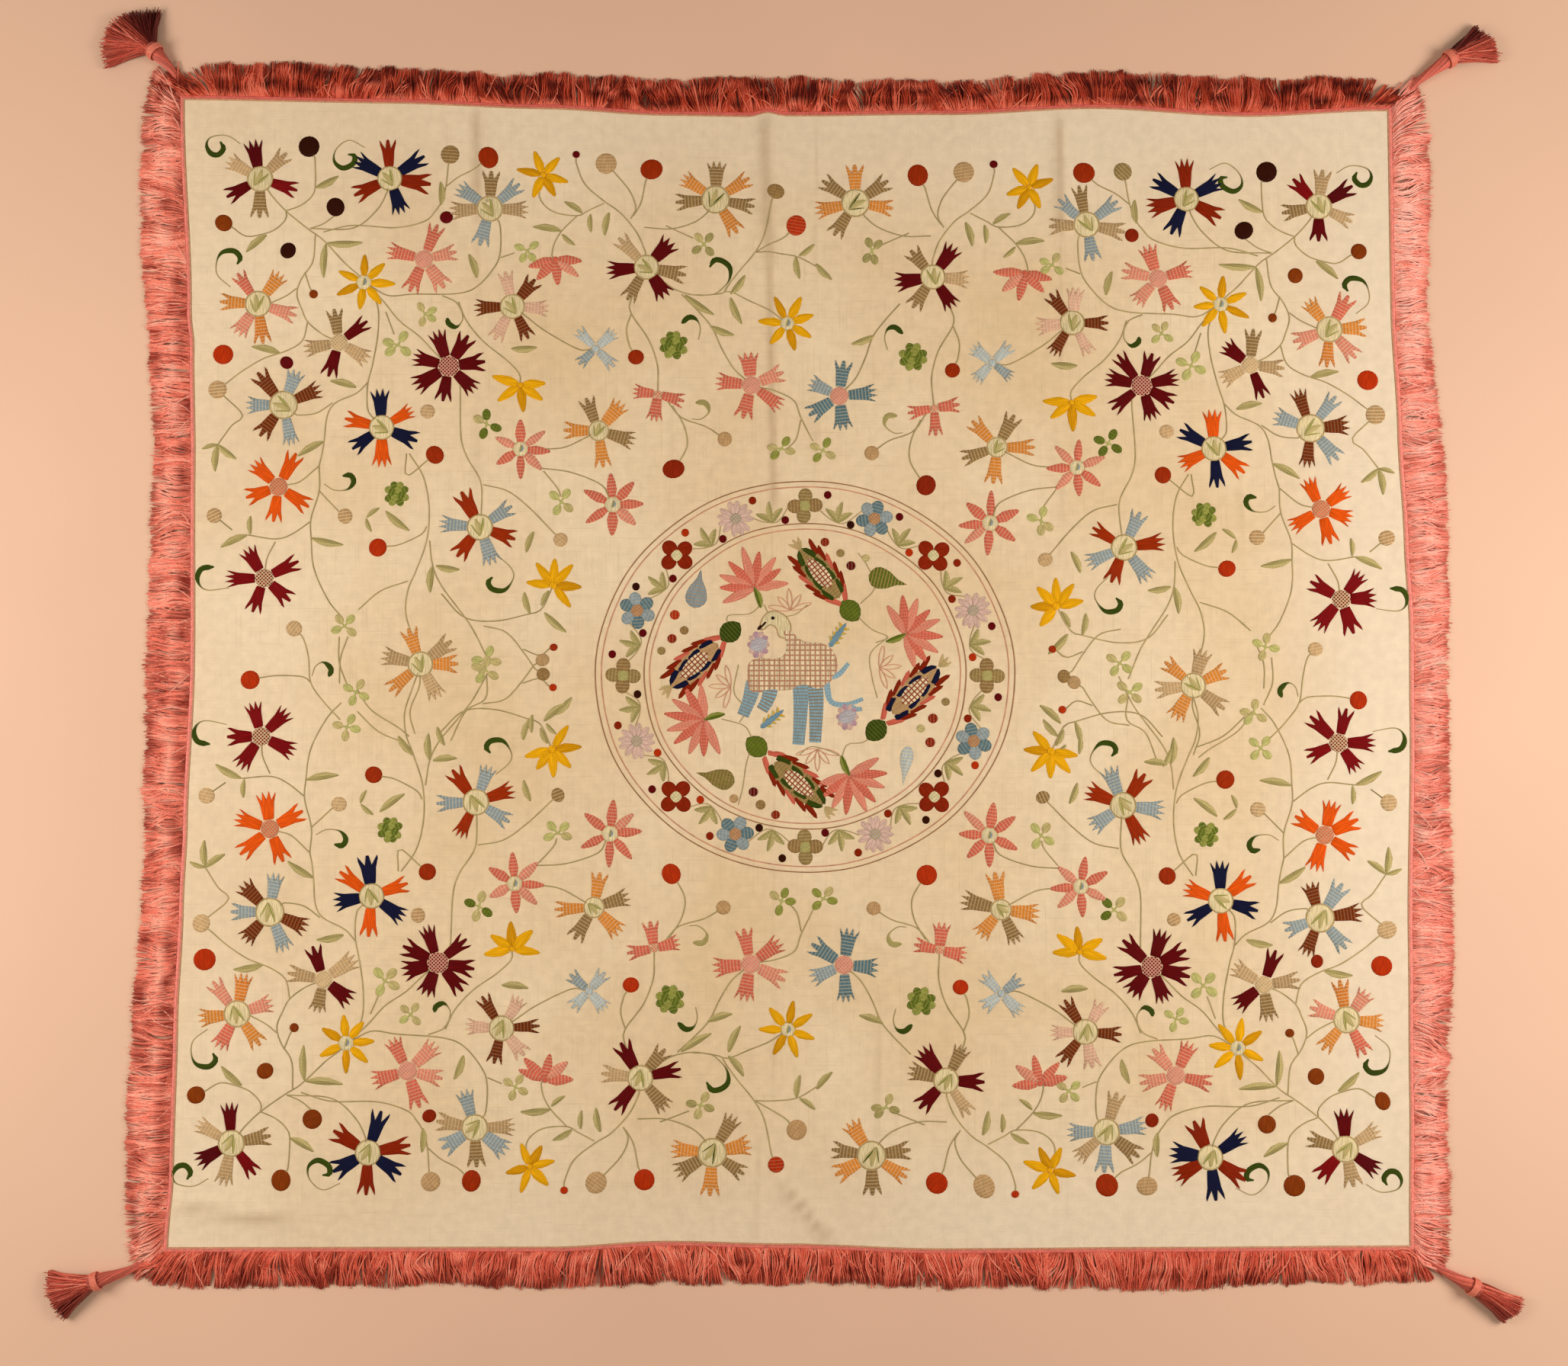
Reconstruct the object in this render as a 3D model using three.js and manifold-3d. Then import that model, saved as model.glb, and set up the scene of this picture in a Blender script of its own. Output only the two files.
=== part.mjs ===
// Embroidered linen bedspread, laid flat: one linen cloth, a silk fringe on a woven heading along each
// side, and a tassel with a wrapped band at each corner.
// Millimetres, +Z up, +X to the right and +Y towards the head end. The cloth lies on the plane z = 0.
import * as THREE from "three";
import Module from "manifold-3d";

const wasm = await Module();
wasm.setup();

// Driving sizes
const linenThickness = 2;
const sewnGap = 0.3; // room left between two pieces that are sewn together
const linenColumns = 18;
const linenRows = 16;
const rimMargin = 30; // width of the flat rim inside the heading
const leastColumn = 7; // grid lines are never closer than this
const headingWidth = 9;
const headingHeight = 3.5;
const locksPerSide = 66;
const cornerRoom = 10; // length of bare heading at each end, where the tassel comes out
const lockMidWidth = 0.88; // share of the root's width
const lockTipWidth = 0.6;
const lockMidHeight = 5.5;
const lockTipHeight = 2.2;
const lockTopWidth = 0.7; // share of the width at the floor
const lockLengthJitter = 5;
const lockLean = 6;
const lockLeanJitter = 4;
const cornerLean = 20; // how far the last locks lean towards the corner
const cornerLeanReach = 0.06; // share of the side in which they do
const tubeSides = 10;
const neckRadius = 13.5;
const bandRadius = 16.8;
const bandLength = 10;
const bandShoulder = 1; // how much lower the band is at its two rims
const headLength = 14; // from the band's middle to the end of the tassel's head
const neckShare = 0.9; // of the way to the band, along which the neck tapers
const skirtLockFill = 0.72; // width of a skirt lock, as a share of the room it has
const skirtLockLeast = 12;
const skirtRootWidth = 7;
const skirtRootSpread = 14;
const skirtUneven = 0.08; // share by which the locks differ in length

// Corners of the linen, from the middle of the cloth
const topLeft = new THREE.Vector2(-1104, 1057);
const topRight = new THREE.Vector2(1097, 1036);
const bottomRight = new THREE.Vector2(1102, -1011);
const bottomLeft = new THREE.Vector2(-1099, -1014);

// Each side in clockwise order. bows: [share of the way along, mm outwards of the straight line].
const sides = [
  { name: "top", from: topLeft, to: topRight, lockLength: 55, lengthWave: 4,
    bows: [[0, 0], [0.17, -3], [0.3, -11], [0.4, -21], [0.47, -22], [0.485, -15], [0.5, -20],
      [0.63, -15], [0.76, -1], [0.88, -13], [1, 0]] },
  { name: "right", from: topRight, to: bottomRight, lockLength: 62, lengthWave: 7,
    bows: [[0, 0], [0.18, -1], [0.29, 7], [0.39, 15], [0.46, 21], [0.54, 19], [0.74, 8],
      [0.87, 5], [1, 0]] },
  { name: "bottom", from: bottomRight, to: bottomLeft, lockLength: 62, lengthWave: 8,
    bows: [[0, 0], [0.19, 2], [0.38, 4], [0.5, -5], [0.6, -10], [0.69, 0], [0.82, 0], [1, 0]] },
  { name: "left", from: bottomLeft, to: topLeft, lockLength: 68, lengthWave: 6,
    bows: [[0, 0], [0.06, -8], [0.19, -12], [0.29, -19], [0.36, -24], [0.5, -33], [0.67, -29],
      [0.78, -24], [0.81, -18], [1, 0]] },
];

// Soft ridges left in the cloth. from and to are their ends, rise and reach are in mm.
const folds = [
  { name: "long crease", from: [-42, 990], to: [-34, 760], rise: 9, reach: 17 },
  { name: "long crease, lower", from: [-34, 760], to: [-26, 330], rise: 3, reach: 13 },
  { name: "right crease", from: [497, 990], to: [498, 830], rise: 6, reach: 14 },
  { name: "left crease", from: [-570, 1000], to: [-566, 860], rise: 4, reach: 14 },
  { name: "foot crease", from: [4, -925], to: [60, -985], rise: 6, reach: 14 },
  { name: "foot corner crease", from: [-1050, -950], to: [-900, -968], rise: 6, reach: 16 },
];
const foldFade = 60; // length over which a ridge dies out at its ends
const foldFloor = 0.15; // lower than this the cloth is flat

// One row a tassel. root is where its cord leaves the fringe, band the middle of its wrapped band.
// The skirt spreads between the two angles, in degrees.
const tassels = [
  { name: "top_left", side: 0, root: [-1123, 1105], band: [-1156, 1142], fan: [92, 186], length: 92 },
  { name: "top_right", side: 1, root: [1156, 1092], band: [1212, 1131], fan: [-2, 47], length: 82 },
  { name: "bottom_right", side: 2, root: [1158, -1053], band: [1219, -1080], fan: [-42, -14], length: 82 },
  { name: "bottom_left", side: 3, root: [-1164, -1052], band: [-1221, -1070], fan: [170, 233], length: 82 },
];

// The two layers of a tassel's skirt. The lower one rests on the floor, the upper one lies between its
// locks. inset is the share of the fan left free at each end, low is the underside's height at the tip
// and rootLow at the root, reach is the share of the skirt's length.
const skirtLayers = [
  { count: 5, inset: 0, low: 0, rootLow: 4.5, tall: 9, reach: 1 },
  { count: 4, inset: 0.12, low: 5.5, rootLow: 12, tall: 9.5, reach: 0.93 },
];

// Radius of the cord and wrapped neck of a tassel along its length
const neckProfile = [[0, 3.5], [0.25, 4.5], [0.45, 7], [0.65, 9.5], [0.82, 12], [1, neckRadius]];

const linenFinish = { color: 0xe6d2a5, roughness: 0.9, metalness: 0 };
const fringeFinish = { color: 0xb4463c, roughness: 0.6, metalness: 0 };
const tasselFinish = { color: 0x9e3a2c, roughness: 0.6, metalness: 0 };
const bandFinish = { color: 0xd9776a, roughness: 0.55, metalness: 0 };

const smooth = (t) => t * t * (3 - 2 * t);
const mix = THREE.MathUtils.lerp;
const degrees = THREE.MathUtils.degToRad;

const toSpace = ([x, y]) => new THREE.Vector3(x, y, 0);
const leftOf = (direction) => new THREE.Vector3(-direction.y, direction.x, 0).normalize();
const asUnit = (angle) => new THREE.Vector3(Math.cos(degrees(angle)), Math.sin(degrees(angle)), 0);

// The same scatter every time, from 0 to 1
function scatter(seed) {
  const value = Math.sin(seed * 12.9898 + 4.13) * 43758.5453;
  return value - Math.floor(value);
}

// Value at "at" of a table of [place, value] rows, with smooth steps between the rows
function readTable(rows, at) {
  const next = rows.findIndex(([place]) => place >= at);
  if (next <= 0) return rows[0][1];
  const [placeA, valueA] = rows[next - 1];
  const [placeB, valueB] = rows[next];
  return mix(valueA, valueB, smooth((at - placeA) / (placeB - placeA)));
}

const along = (side) => side.to.clone().sub(side.from).normalize();

function outward(side) {
  const direction = along(side);
  return new THREE.Vector2(-direction.y, direction.x);
}

function edgePoint(side, share) {
  const point = side.from.clone().lerp(side.to, share);
  return point.addScaledVector(outward(side), readTable(side.bows, share));
}

// Corner of a line that runs "offset" outside the linen, where the side meets the one before it
function mitrePoint(index, offset) {
  const side = sides[index];
  const before = sides[(index + sides.length - 1) % sides.length];
  const bisector = outward(side).add(outward(before)).normalize();
  return side.from.clone().addScaledVector(bisector, offset / bisector.dot(outward(side)));
}

// Height of the cloth's underside
function foldHeight(point) {
  let height = 0;
  for (const fold of folds) {
    const start = new THREE.Vector2(...fold.from);
    const run = new THREE.Vector2(...fold.to).sub(start);
    const length = run.length();
    const rel = point.clone().sub(start);
    const place = rel.dot(run) / length;
    const away = Math.abs(rel.cross(run)) / length;
    const past = Math.max(-place, place - length, 0);
    const rise = fold.rise * Math.exp(-((away / fold.reach) ** 2) - (past / foldFade) ** 2 * 4);
    height = Math.max(height, rise);
  }
  return height < foldFloor ? 0 : height;
}

// Closed mesh from its points and faces, turned so that the faces look outwards
function solid(points, faces) {
  let volume = 0;
  for (const [a, b, c] of faces) volume += points[a].dot(points[b].clone().cross(points[c]));
  const turned = volume < 0 ? faces.map(([a, b, c]) => [a, c, b]) : faces;
  const geometry = new THREE.BufferGeometry();
  geometry.setAttribute("position", new THREE.Float32BufferAttribute(points.flatMap((p) => p.toArray()), 3));
  geometry.setIndex(turned.flat());
  return geometry;
}

const quad = (a, b, c, d) => [[a, b, c], [a, c, d]];

// Skin over rings of equal count. It is capped at both ends, or joined end to end.
function skin(rings, joined = false) {
  const count = rings[0].length;
  const points = rings.flat();
  const faces = [];
  const last = joined ? rings.length : rings.length - 1;
  for (let i = 0; i < last; i += 1) {
    const near = i * count;
    const far = ((i + 1) % rings.length) * count;
    for (let k = 0; k < count; k += 1) {
      const next = (k + 1) % count;
      faces.push(...quad(near + k, near + next, far + next, far + k));
    }
  }
  if (!joined) {
    const end = (rings.length - 1) * count;
    for (let k = 1; k < count - 1; k += 1) {
      faces.push([0, k + 1, k], [end, end + k, end + k + 1]);
    }
  }
  return solid(points, faces);
}

function named(name, geometry, finish) {
  geometry.computeVertexNormals();
  const mesh = new THREE.Mesh(geometry, new THREE.MeshStandardMaterial(finish));
  mesh.name = name;
  return mesh;
}

// Stations along a side, shared by the linen's rim and the heading sewn to it: both ends, and the
// roots of the locks between them
function rimShares(side) {
  const bare = cornerRoom / side.from.distanceTo(side.to);
  const roots = Array.from({ length: locksPerSide + 1 }, (_, i) => mix(bare, 1 - bare, i / locksPerSide));
  return [0, ...roots, 1];
}

// Grid lines inside the rim: even ones, and extra ones on both flanks of the upright creases
function gridShares(count, length, extras) {
  const margin = rimMargin / length;
  const even = Array.from({ length: count + 1 }, (_, i) => mix(margin, 1 - margin, i / count));
  const apart = (share, i, all) => i === 0 || (share - all[i - 1]) * length > leastColumn;
  return [...even, ...extras].sort((a, b) => a - b).filter(apart);
}

function creaseShares() {
  const width = topRight.x - topLeft.x;
  const upright = folds.filter((fold) => Math.abs(fold.from[0] - fold.to[0]) < 20);
  return upright.flatMap((fold) => {
    const middle = ((fold.from[0] + fold.to[0]) / 2 - topLeft.x) / width;
    return [-1.6, -0.7, 0, 0.7, 1.6].map((step) => middle + (step * fold.reach) / width);
  });
}

// Point of the cloth between its four edges, u from left to right and v from foot to head
function clothPoint(u, v) {
  const [top, right, bottom, left] = sides;
  const straight = bottomLeft.clone().lerp(bottomRight, u).lerp(topLeft.clone().lerp(topRight, u), v);
  const upright = edgePoint(bottom, 1 - u).lerp(edgePoint(top, u), v);
  const level = edgePoint(left, v).lerp(edgePoint(right, 1 - v), u);
  return upright.add(level).sub(straight);
}

// Triangles between two lines of points that run the same way, the outer one on the left.
// Each line is a list of [point number, share of the way along].
function zip(outer, inner) {
  const faces = [];
  let [i, j] = [0, 0];
  while (i < outer.length - 1 || j < inner.length - 1) {
    const outerNext = i < outer.length - 1 ? outer[i + 1][1] : Infinity;
    const innerNext = j < inner.length - 1 ? inner[j + 1][1] : Infinity;
    if (outerNext <= innerNext) {
      faces.push([outer[i][0], inner[j][0], outer[i + 1][0]]);
      i += 1;
    } else {
      faces.push([outer[i][0], inner[j][0], inner[j + 1][0]]);
      j += 1;
    }
  }
  return faces;
}

// A grid with a flat rim round it, doubled to the cloth's thickness
function linenCloth() {
  const columns = gridShares(linenColumns, topRight.x - topLeft.x, creaseShares());
  const rows = gridShares(linenRows, topLeft.y - bottomLeft.y, []);
  const under = [];
  for (const v of rows) {
    for (const u of columns) {
      const point = clothPoint(u, v);
      under.push(new THREE.Vector3(point.x, point.y, foldHeight(point)));
    }
  }
  const over = [];
  const across = columns.length;
  for (let r = 0; r < rows.length - 1; r += 1) {
    for (let c = 0; c < across - 1; c += 1) {
      const [a, b] = [r * across + c, (r + 1) * across + c];
      over.push(...quad(a, a + 1, b + 1, b));
    }
  }

  // Rim points in clockwise order, then the band between the rim and the grid's own edge
  const rimStart = under.length;
  const rimStarts = sides.map((side) => {
    const first = under.length;
    for (const share of rimShares(side).slice(0, -1)) {
      const point = edgePoint(side, share);
      under.push(new THREE.Vector3(point.x, point.y, 0));
    }
    return first;
  });
  const topRow = (rows.length - 1) * across;
  const gridEdges = [
    columns.map((u, c) => [topRow + c, u]),
    rows.map((v, r) => [r * across + across - 1, 1 - v]).reverse(),
    columns.map((u, c) => [c, 1 - u]).reverse(),
    rows.map((v, r) => [r * across, v]),
  ];
  sides.forEach((side, k) => {
    const shares = rimShares(side);
    const rimLine = shares.map((share, i) => [rimStarts[k] + i, share]);
    rimLine[shares.length - 1][0] = rimStarts[(k + 1) % sides.length];
    over.push(...zip(rimLine, gridEdges[k]));
  });

  const lift = under.length;
  const points = [...under, ...under.map((point) => point.clone().setZ(point.z + linenThickness))];
  const faces = over.flatMap(([a, b, c]) => [[lift + a, lift + b, lift + c], [a, c, b]]);
  for (let a = rimStart; a < lift; a += 1) {
    const b = a + 1 < lift ? a + 1 : rimStart;
    faces.push(...quad(a, lift + a, lift + b, b));
  }
  return solid(points, faces);
}

// Heading with its locks. The locks grow out of the outer face and meet only at their roots.
function fringe(index) {
  const side = sides[index];
  const out = outward(side);
  const run = along(side);
  const shares = rimShares(side);
  const next = (index + 1) % sides.length;
  const line = (offset) => shares.map((share, i) => {
    if (i === 0) return mitrePoint(index, offset).addScaledVector(run, sewnGap / 2);
    if (i === shares.length - 1) return mitrePoint(next, offset).addScaledVector(run, -sewnGap / 2);
    return edgePoint(side, share).addScaledVector(out, offset);
  });
  const inner = line(sewnGap);
  const outer = line(sewnGap + headingWidth);

  // Each station has four points: inner low, outer low, outer high, inner high
  const points = [];
  shares.forEach((_, i) => {
    const corners = [[inner, 0], [outer, 0], [outer, headingHeight], [inner, headingHeight]];
    for (const [edge, height] of corners) points.push(new THREE.Vector3(edge[i].x, edge[i].y, height));
  });
  const faces = [];
  for (let i = 0; i < shares.length - 1; i += 1) {
    const [a, b] = [i * 4, (i + 1) * 4];
    faces.push(...quad(a, b, b + 1, a + 1), ...quad(a + 3, a + 2, b + 2, b + 3), ...quad(a, a + 3, b + 3, b));
    const isLock = i > 0 && i < shares.length - 2;
    if (isLock) growLock(points, faces, a, b, lockShape(side, index, i, shares));
    else faces.push(...quad(a + 1, b + 1, b + 2, a + 2));
  }
  const end = (shares.length - 1) * 4;
  faces.push(...quad(0, 1, 2, 3), ...quad(end, end + 3, end + 2, end + 1));
  return solid(points, faces);
}

// Length and lean of one lock, slowly changing along the side with a scatter on top
function lockShape(side, index, i, shares) {
  const share = (shares[i] + shares[i + 1]) / 2;
  const seed = index * 100 + i;
  const wave = Math.sin(share * 17 + index * 1.9);
  const toCorner = Math.max(0, 1 - Math.min(share, 1 - share) / cornerLeanReach);
  const cornerPull = cornerLean * toCorner * (share < 0.5 ? -1 : 1);
  const lean = lockLean * Math.sin(share * 29 + index) + lockLeanJitter * (2 * scatter(seed) - 1);
  return {
    length: side.lockLength + side.lengthWave * wave + lockLengthJitter * (2 * scatter(seed + 0.5) - 1),
    lean: lean * (1 - toCorner) + cornerPull,
    out: outward(side),
  };
}

function growLock(points, faces, a, b, shape) {
  const low = [points[a + 1], points[b + 1]].map((p) => new THREE.Vector2(p.x, p.y));
  const middle = low[0].clone().lerp(low[1], 0.5);
  const half = low[1].clone().sub(low[0]).multiplyScalar(0.5);
  const run = half.clone().normalize();
  const stations = [
    { reach: 0.5, lean: 0.3, width: lockMidWidth, height: lockMidHeight },
    { reach: 1, lean: 1, width: lockTipWidth, height: lockTipHeight },
  ];
  let ring = [a + 1, b + 1, b + 2, a + 2];
  for (const { reach, lean, width, height } of stations) {
    const centre = middle.clone().addScaledVector(shape.out, reach * shape.length);
    centre.addScaledVector(run, lean * shape.lean);
    const corners = [[-1, 0], [1, 0], [lockTopWidth, height], [-lockTopWidth, height]];
    const first = points.length;
    for (const [sideways, z] of corners) {
      const spot = centre.clone().addScaledVector(half, sideways * width);
      points.push(new THREE.Vector3(spot.x, spot.y, z));
    }
    const grown = [first, first + 1, first + 2, first + 3];
    ring.forEach((from, k) => {
      const n = (k + 1) % 4;
      faces.push(...quad(from, ring[n], grown[n], grown[k]));
    });
    ring = grown;
  }
  faces.push(...quad(...ring));
}

// Ring of a round section, flat at the bottom, square to "heading" in plan
function roundRing(centre, heading, radius) {
  const across = leftOf(heading);
  return Array.from({ length: tubeSides }, (_, k) => {
    const angle = ((k + 0.5) / tubeSides) * Math.PI * 2;
    const spot = centre.clone().addScaledVector(across, Math.sin(angle) * radius);
    return spot.setZ(centre.z - Math.cos(angle) * radius);
  });
}

const flatShare = Math.cos(Math.PI / tubeSides); // of a ring's radius, down to its flat bottom
const bandHeight = bandRadius * flatShare;

function toManifold(geometry) {
  const vertProperties = new Float32Array(geometry.getAttribute("position").array);
  const triVerts = new Uint32Array(geometry.getIndex().array);
  return new wasm.Manifold(new wasm.Mesh({ numProp: 3, vertProperties, triVerts }));
}

function fromManifold(body) {
  const mesh = body.getMesh();
  const geometry = new THREE.BufferGeometry();
  geometry.setAttribute("position", new THREE.Float32BufferAttribute(mesh.vertProperties, 3));
  geometry.setIndex(new THREE.Uint32BufferAttribute(mesh.triVerts, 1));
  return geometry;
}

// The line of a tassel's cord and neck in plan, with its direction at the band
function tasselLine(row) {
  const corner = mitrePoint(row.side, sewnGap + headingWidth);
  const tip = toSpace([corner.x, corner.y]);
  const [root, band] = [toSpace(row.root), toSpace(row.band)];
  const skirtAhead = asUnit((row.fan[0] + row.fan[1]) / 2);
  const heading = band.clone().sub(root).normalize().add(skirtAhead).normalize();
  const start = tip.clone().addScaledVector(root.clone().sub(tip).normalize(), sewnGap);
  return { curve: new THREE.CatmullRomCurve3([start, root, band]), band, heading };
}

function tassel(row) {
  const { curve, band, heading } = tasselLine(row);
  const rings = neckProfile.slice(0, -1).map(([share, radius]) => {
    const centre = curve.getPointAt(share * neckShare);
    centre.z = radius * flatShare + (bandHeight - neckRadius * flatShare) * smooth(share);
    return roundRing(centre, curve.getTangentAt(share * neckShare), radius);
  });
  for (const step of [-bandLength / 2 - 1, bandLength / 2 + 1, headLength]) {
    const centre = band.clone().addScaledVector(heading, step).setZ(bandHeight);
    rings.push(roundRing(centre, heading, neckRadius));
  }
  let body = toManifold(skin(rings));
  for (const layer of skirtLayers) {
    for (let i = 0; i < layer.count; i += 1) {
      body = body.add(toManifold(skirtLock(row, layer, i, band, heading)));
    }
  }
  return fromManifold(body);
}

// One lock of the skirt, as a tapered bar of three stations
function skirtLock(row, layer, i, band, heading) {
  const { count, inset, low, rootLow, tall, reach } = layer;
  const arc = degrees(row.fan[1] - row.fan[0]) * row.length * (1 - 2 * inset);
  const tipWidth = Math.max(skirtLockLeast, (arc / (count - 1)) * skirtLockFill);
  const part = mix(inset, 1 - inset, i / (count - 1));
  const direction = asUnit(mix(row.fan[0], row.fan[1], part));
  const length = row.length * reach * (1 - skirtUneven * scatter(row.side * 20 + count * 7 + i));
  const root = band.clone().addScaledVector(heading, bandLength / 2 + 3);
  root.addScaledVector(leftOf(heading), skirtRootSpread * (part - 0.5));
  const stations = [
    { place: 0, under: rootLow, width: skirtRootWidth, thick: tall },
    { place: 0.45, under: mix(rootLow, low, 0.75), width: mix(skirtRootWidth, tipWidth, 0.6), thick: tall + 1 },
    { place: 1, under: low, width: tipWidth, thick: tall - 3 },
  ];
  const rings = stations.map(({ place, under, width, thick }) => {
    const centre = root.clone().addScaledVector(direction, place * length);
    const half = width / 2;
    const corners = [[-half, 0], [half, 0], [half * lockTopWidth, thick], [-half * lockTopWidth, thick]];
    return corners.map(([sideways, up]) =>
      centre.clone().addScaledVector(leftOf(direction), sideways).setZ(under + up));
  });
  return skin(rings);
}

// Band wrapped round the neck, as a ring with rounded shoulders
function tasselBand(row) {
  const { band, heading } = tasselLine(row);
  const inside = neckRadius + sewnGap / flatShare;
  const half = bandLength / 2;
  const rim = bandRadius - bandShoulder;
  const profile = [[-half, inside], [-half, rim], [-half / 2, bandRadius],
    [half / 2, bandRadius], [half, rim], [half, inside]];
  const rings = profile.map(([step, radius]) =>
    roundRing(band.clone().addScaledVector(heading, step).setZ(bandHeight), heading, radius));
  return skin(rings, true);
}

const bedspread = new THREE.Group();
bedspread.add(named("linen_cloth", linenCloth(), linenFinish));
sides.forEach((side, i) => bedspread.add(named(`fringe_${side.name}`, fringe(i), fringeFinish)));
for (const row of tassels) {
  bedspread.add(named(`tassel_${row.name}`, tassel(row), tasselFinish));
  bedspread.add(named(`tassel_band_${row.name}`, tasselBand(row), bandFinish));
}

// The origin is under the middle of all that is built
const reach = new THREE.Box3().setFromObject(bedspread);
const middle = reach.getCenter(new THREE.Vector3());
bedspread.position.set(-middle.x, -middle.y, -reach.min.z);

export default bedspread;
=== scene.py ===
# Embroidered linen bedspread, laid flat: linen cloth, silk and wool embroidery, a fringe on a braided
# heading along each side, and a tassel at each corner. Tables are in mm, from the middle of the linen.
import math

import bpy
import numpy as np
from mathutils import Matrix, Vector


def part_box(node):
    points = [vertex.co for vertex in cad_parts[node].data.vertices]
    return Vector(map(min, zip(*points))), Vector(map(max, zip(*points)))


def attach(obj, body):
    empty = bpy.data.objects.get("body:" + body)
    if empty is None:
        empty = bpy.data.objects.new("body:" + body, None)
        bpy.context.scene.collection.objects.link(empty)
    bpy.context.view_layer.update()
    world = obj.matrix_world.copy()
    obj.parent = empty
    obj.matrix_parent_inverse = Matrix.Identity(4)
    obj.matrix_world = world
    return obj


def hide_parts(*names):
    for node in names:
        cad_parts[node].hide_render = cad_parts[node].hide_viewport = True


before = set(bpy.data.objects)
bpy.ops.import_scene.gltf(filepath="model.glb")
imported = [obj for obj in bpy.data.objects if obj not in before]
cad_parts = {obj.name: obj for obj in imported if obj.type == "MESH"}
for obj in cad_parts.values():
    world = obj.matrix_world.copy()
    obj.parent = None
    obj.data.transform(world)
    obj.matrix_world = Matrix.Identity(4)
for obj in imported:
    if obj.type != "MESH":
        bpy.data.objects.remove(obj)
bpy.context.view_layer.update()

mm = 0.001
rng = np.random.default_rng(12)

# Colours as 0-255 values of the dyed threads
threads = {
    "burgundy": (94, 6, 8), "crimson": (120, 10, 12), "plum": (84, 4, 8), "brick": (136, 34, 4),
    "red": (154, 44, 4), "scarlet": (178, 48, 6), "orangeRed": (224, 84, 12), "orange": (216, 132, 48),
    "amber": (212, 122, 42), "gold": (234, 168, 12), "honey": (212, 146, 8), "rose": (210, 100, 76),
    "pink": (220, 132, 106), "blush": (222, 170, 142), "lilac": (208, 172, 156), "sky": (138, 152, 154),
    "blue": (88, 116, 122), "iceBlue": (178, 186, 182), "navy": (18, 20, 48), "rust": (112, 44, 2),
    "sienna": (128, 54, 6), "umber": (50, 14, 2), "drab": (144, 110, 62), "olive": (146, 120, 68),
    "beige": (178, 142, 96), "sand": (196, 158, 110), "tan": (184, 144, 96), "cream": (222, 196, 150),
    "paleCream": (226, 206, 164), "leaf": (164, 150, 92), "leafPale": (190, 172, 112),
    "stem": (172, 152, 104), "fern": (140, 142, 62), "moss": (92, 104, 26), "forest": (56, 70, 12),
    "mint": (186, 180, 108), "black": (22, 14, 14), "heart": (222, 202, 154), "heartEdge": (176, 150, 98),
    "clay": (172, 112, 86), "beastBlue": (132, 164, 174), "violet": (182, 144, 152),
    "tuftBlue": (112, 148, 164), "ringBrown": (158, 116, 80), "ringPink": (208, 150, 118),
}


def toLinear(colour):
    c = np.asarray(colour, float) / 255
    return np.where(c <= 0.04045, c / 12.92, ((c + 0.055) / 1.055) ** 2.4)


thread = {name: toLinear(value) for name, value in threads.items()}


def smooth(t):
    return t * t * (3 - 2 * t)


def unit(vectors):
    return vectors / (np.linalg.norm(vectors, axis=-1, keepdims=True) + 1e-9)


def leftOf(vectors):
    # Plane vectors turned a quarter to the left
    return np.stack([-vectors[..., 1], vectors[..., 0]], axis=-1)


def turnVector(angle, length):
    a = math.radians(angle)
    return np.array([math.cos(a), math.sin(a)]) * length


def readTable(rows, at):
    # Value at each place of a table of [place, value] rows, with smooth steps between the rows
    places, values = np.array(rows, float).T
    at = np.clip(at, places[0], places[-1])
    k = np.clip(np.searchsorted(places, at, side="right") - 1, 0, len(places) - 2)
    t = smooth((at - places[k]) / (places[k + 1] - places[k]))
    return values[k] + (values[k + 1] - values[k]) * t


# Outline of the linen: corners, and each side in clockwise order with its bows
# [share of the way along, mm outwards of the straight line]
topLeft, topRight = np.array([-1104.0, 1057.0]), np.array([1097.0, 1036.0])
bottomRight, bottomLeft = np.array([1102.0, -1011.0]), np.array([-1099.0, -1014.0])
sides = [
    {"name": "top", "start": topLeft, "end": topRight,
     "bows": [[0, 0], [0.17, -3], [0.3, -11], [0.4, -21], [0.47, -22], [0.485, -15], [0.5, -20],
              [0.63, -15], [0.76, -1], [0.88, -13], [1, 0]]},
    {"name": "right", "start": topRight, "end": bottomRight,
     "bows": [[0, 0], [0.18, -1], [0.29, 7], [0.39, 15], [0.46, 21], [0.54, 19], [0.74, 8],
              [0.87, 5], [1, 0]]},
    {"name": "bottom", "start": bottomRight, "end": bottomLeft,
     "bows": [[0, 0], [0.19, 2], [0.38, 4], [0.5, -5], [0.6, -10], [0.69, 0], [0.82, 0], [1, 0]]},
    {"name": "left", "start": bottomLeft, "end": topLeft,
     "bows": [[0, 0], [0.06, -8], [0.19, -12], [0.29, -19], [0.36, -24], [0.5, -33], [0.67, -29],
              [0.78, -24], [0.81, -18], [1, 0]]},
]
for side in sides:
    run = side["end"] - side["start"]
    side["length"] = float(np.hypot(*run))
    side["run"] = run / side["length"]
    side["out"] = leftOf(side["run"])


def edgePoint(side, share):
    share = np.asarray(share, float)[..., None]
    bow = readTable(side["bows"], share[..., 0])[..., None]
    return side["start"] + (side["end"] - side["start"]) * share + side["out"] * bow


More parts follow.
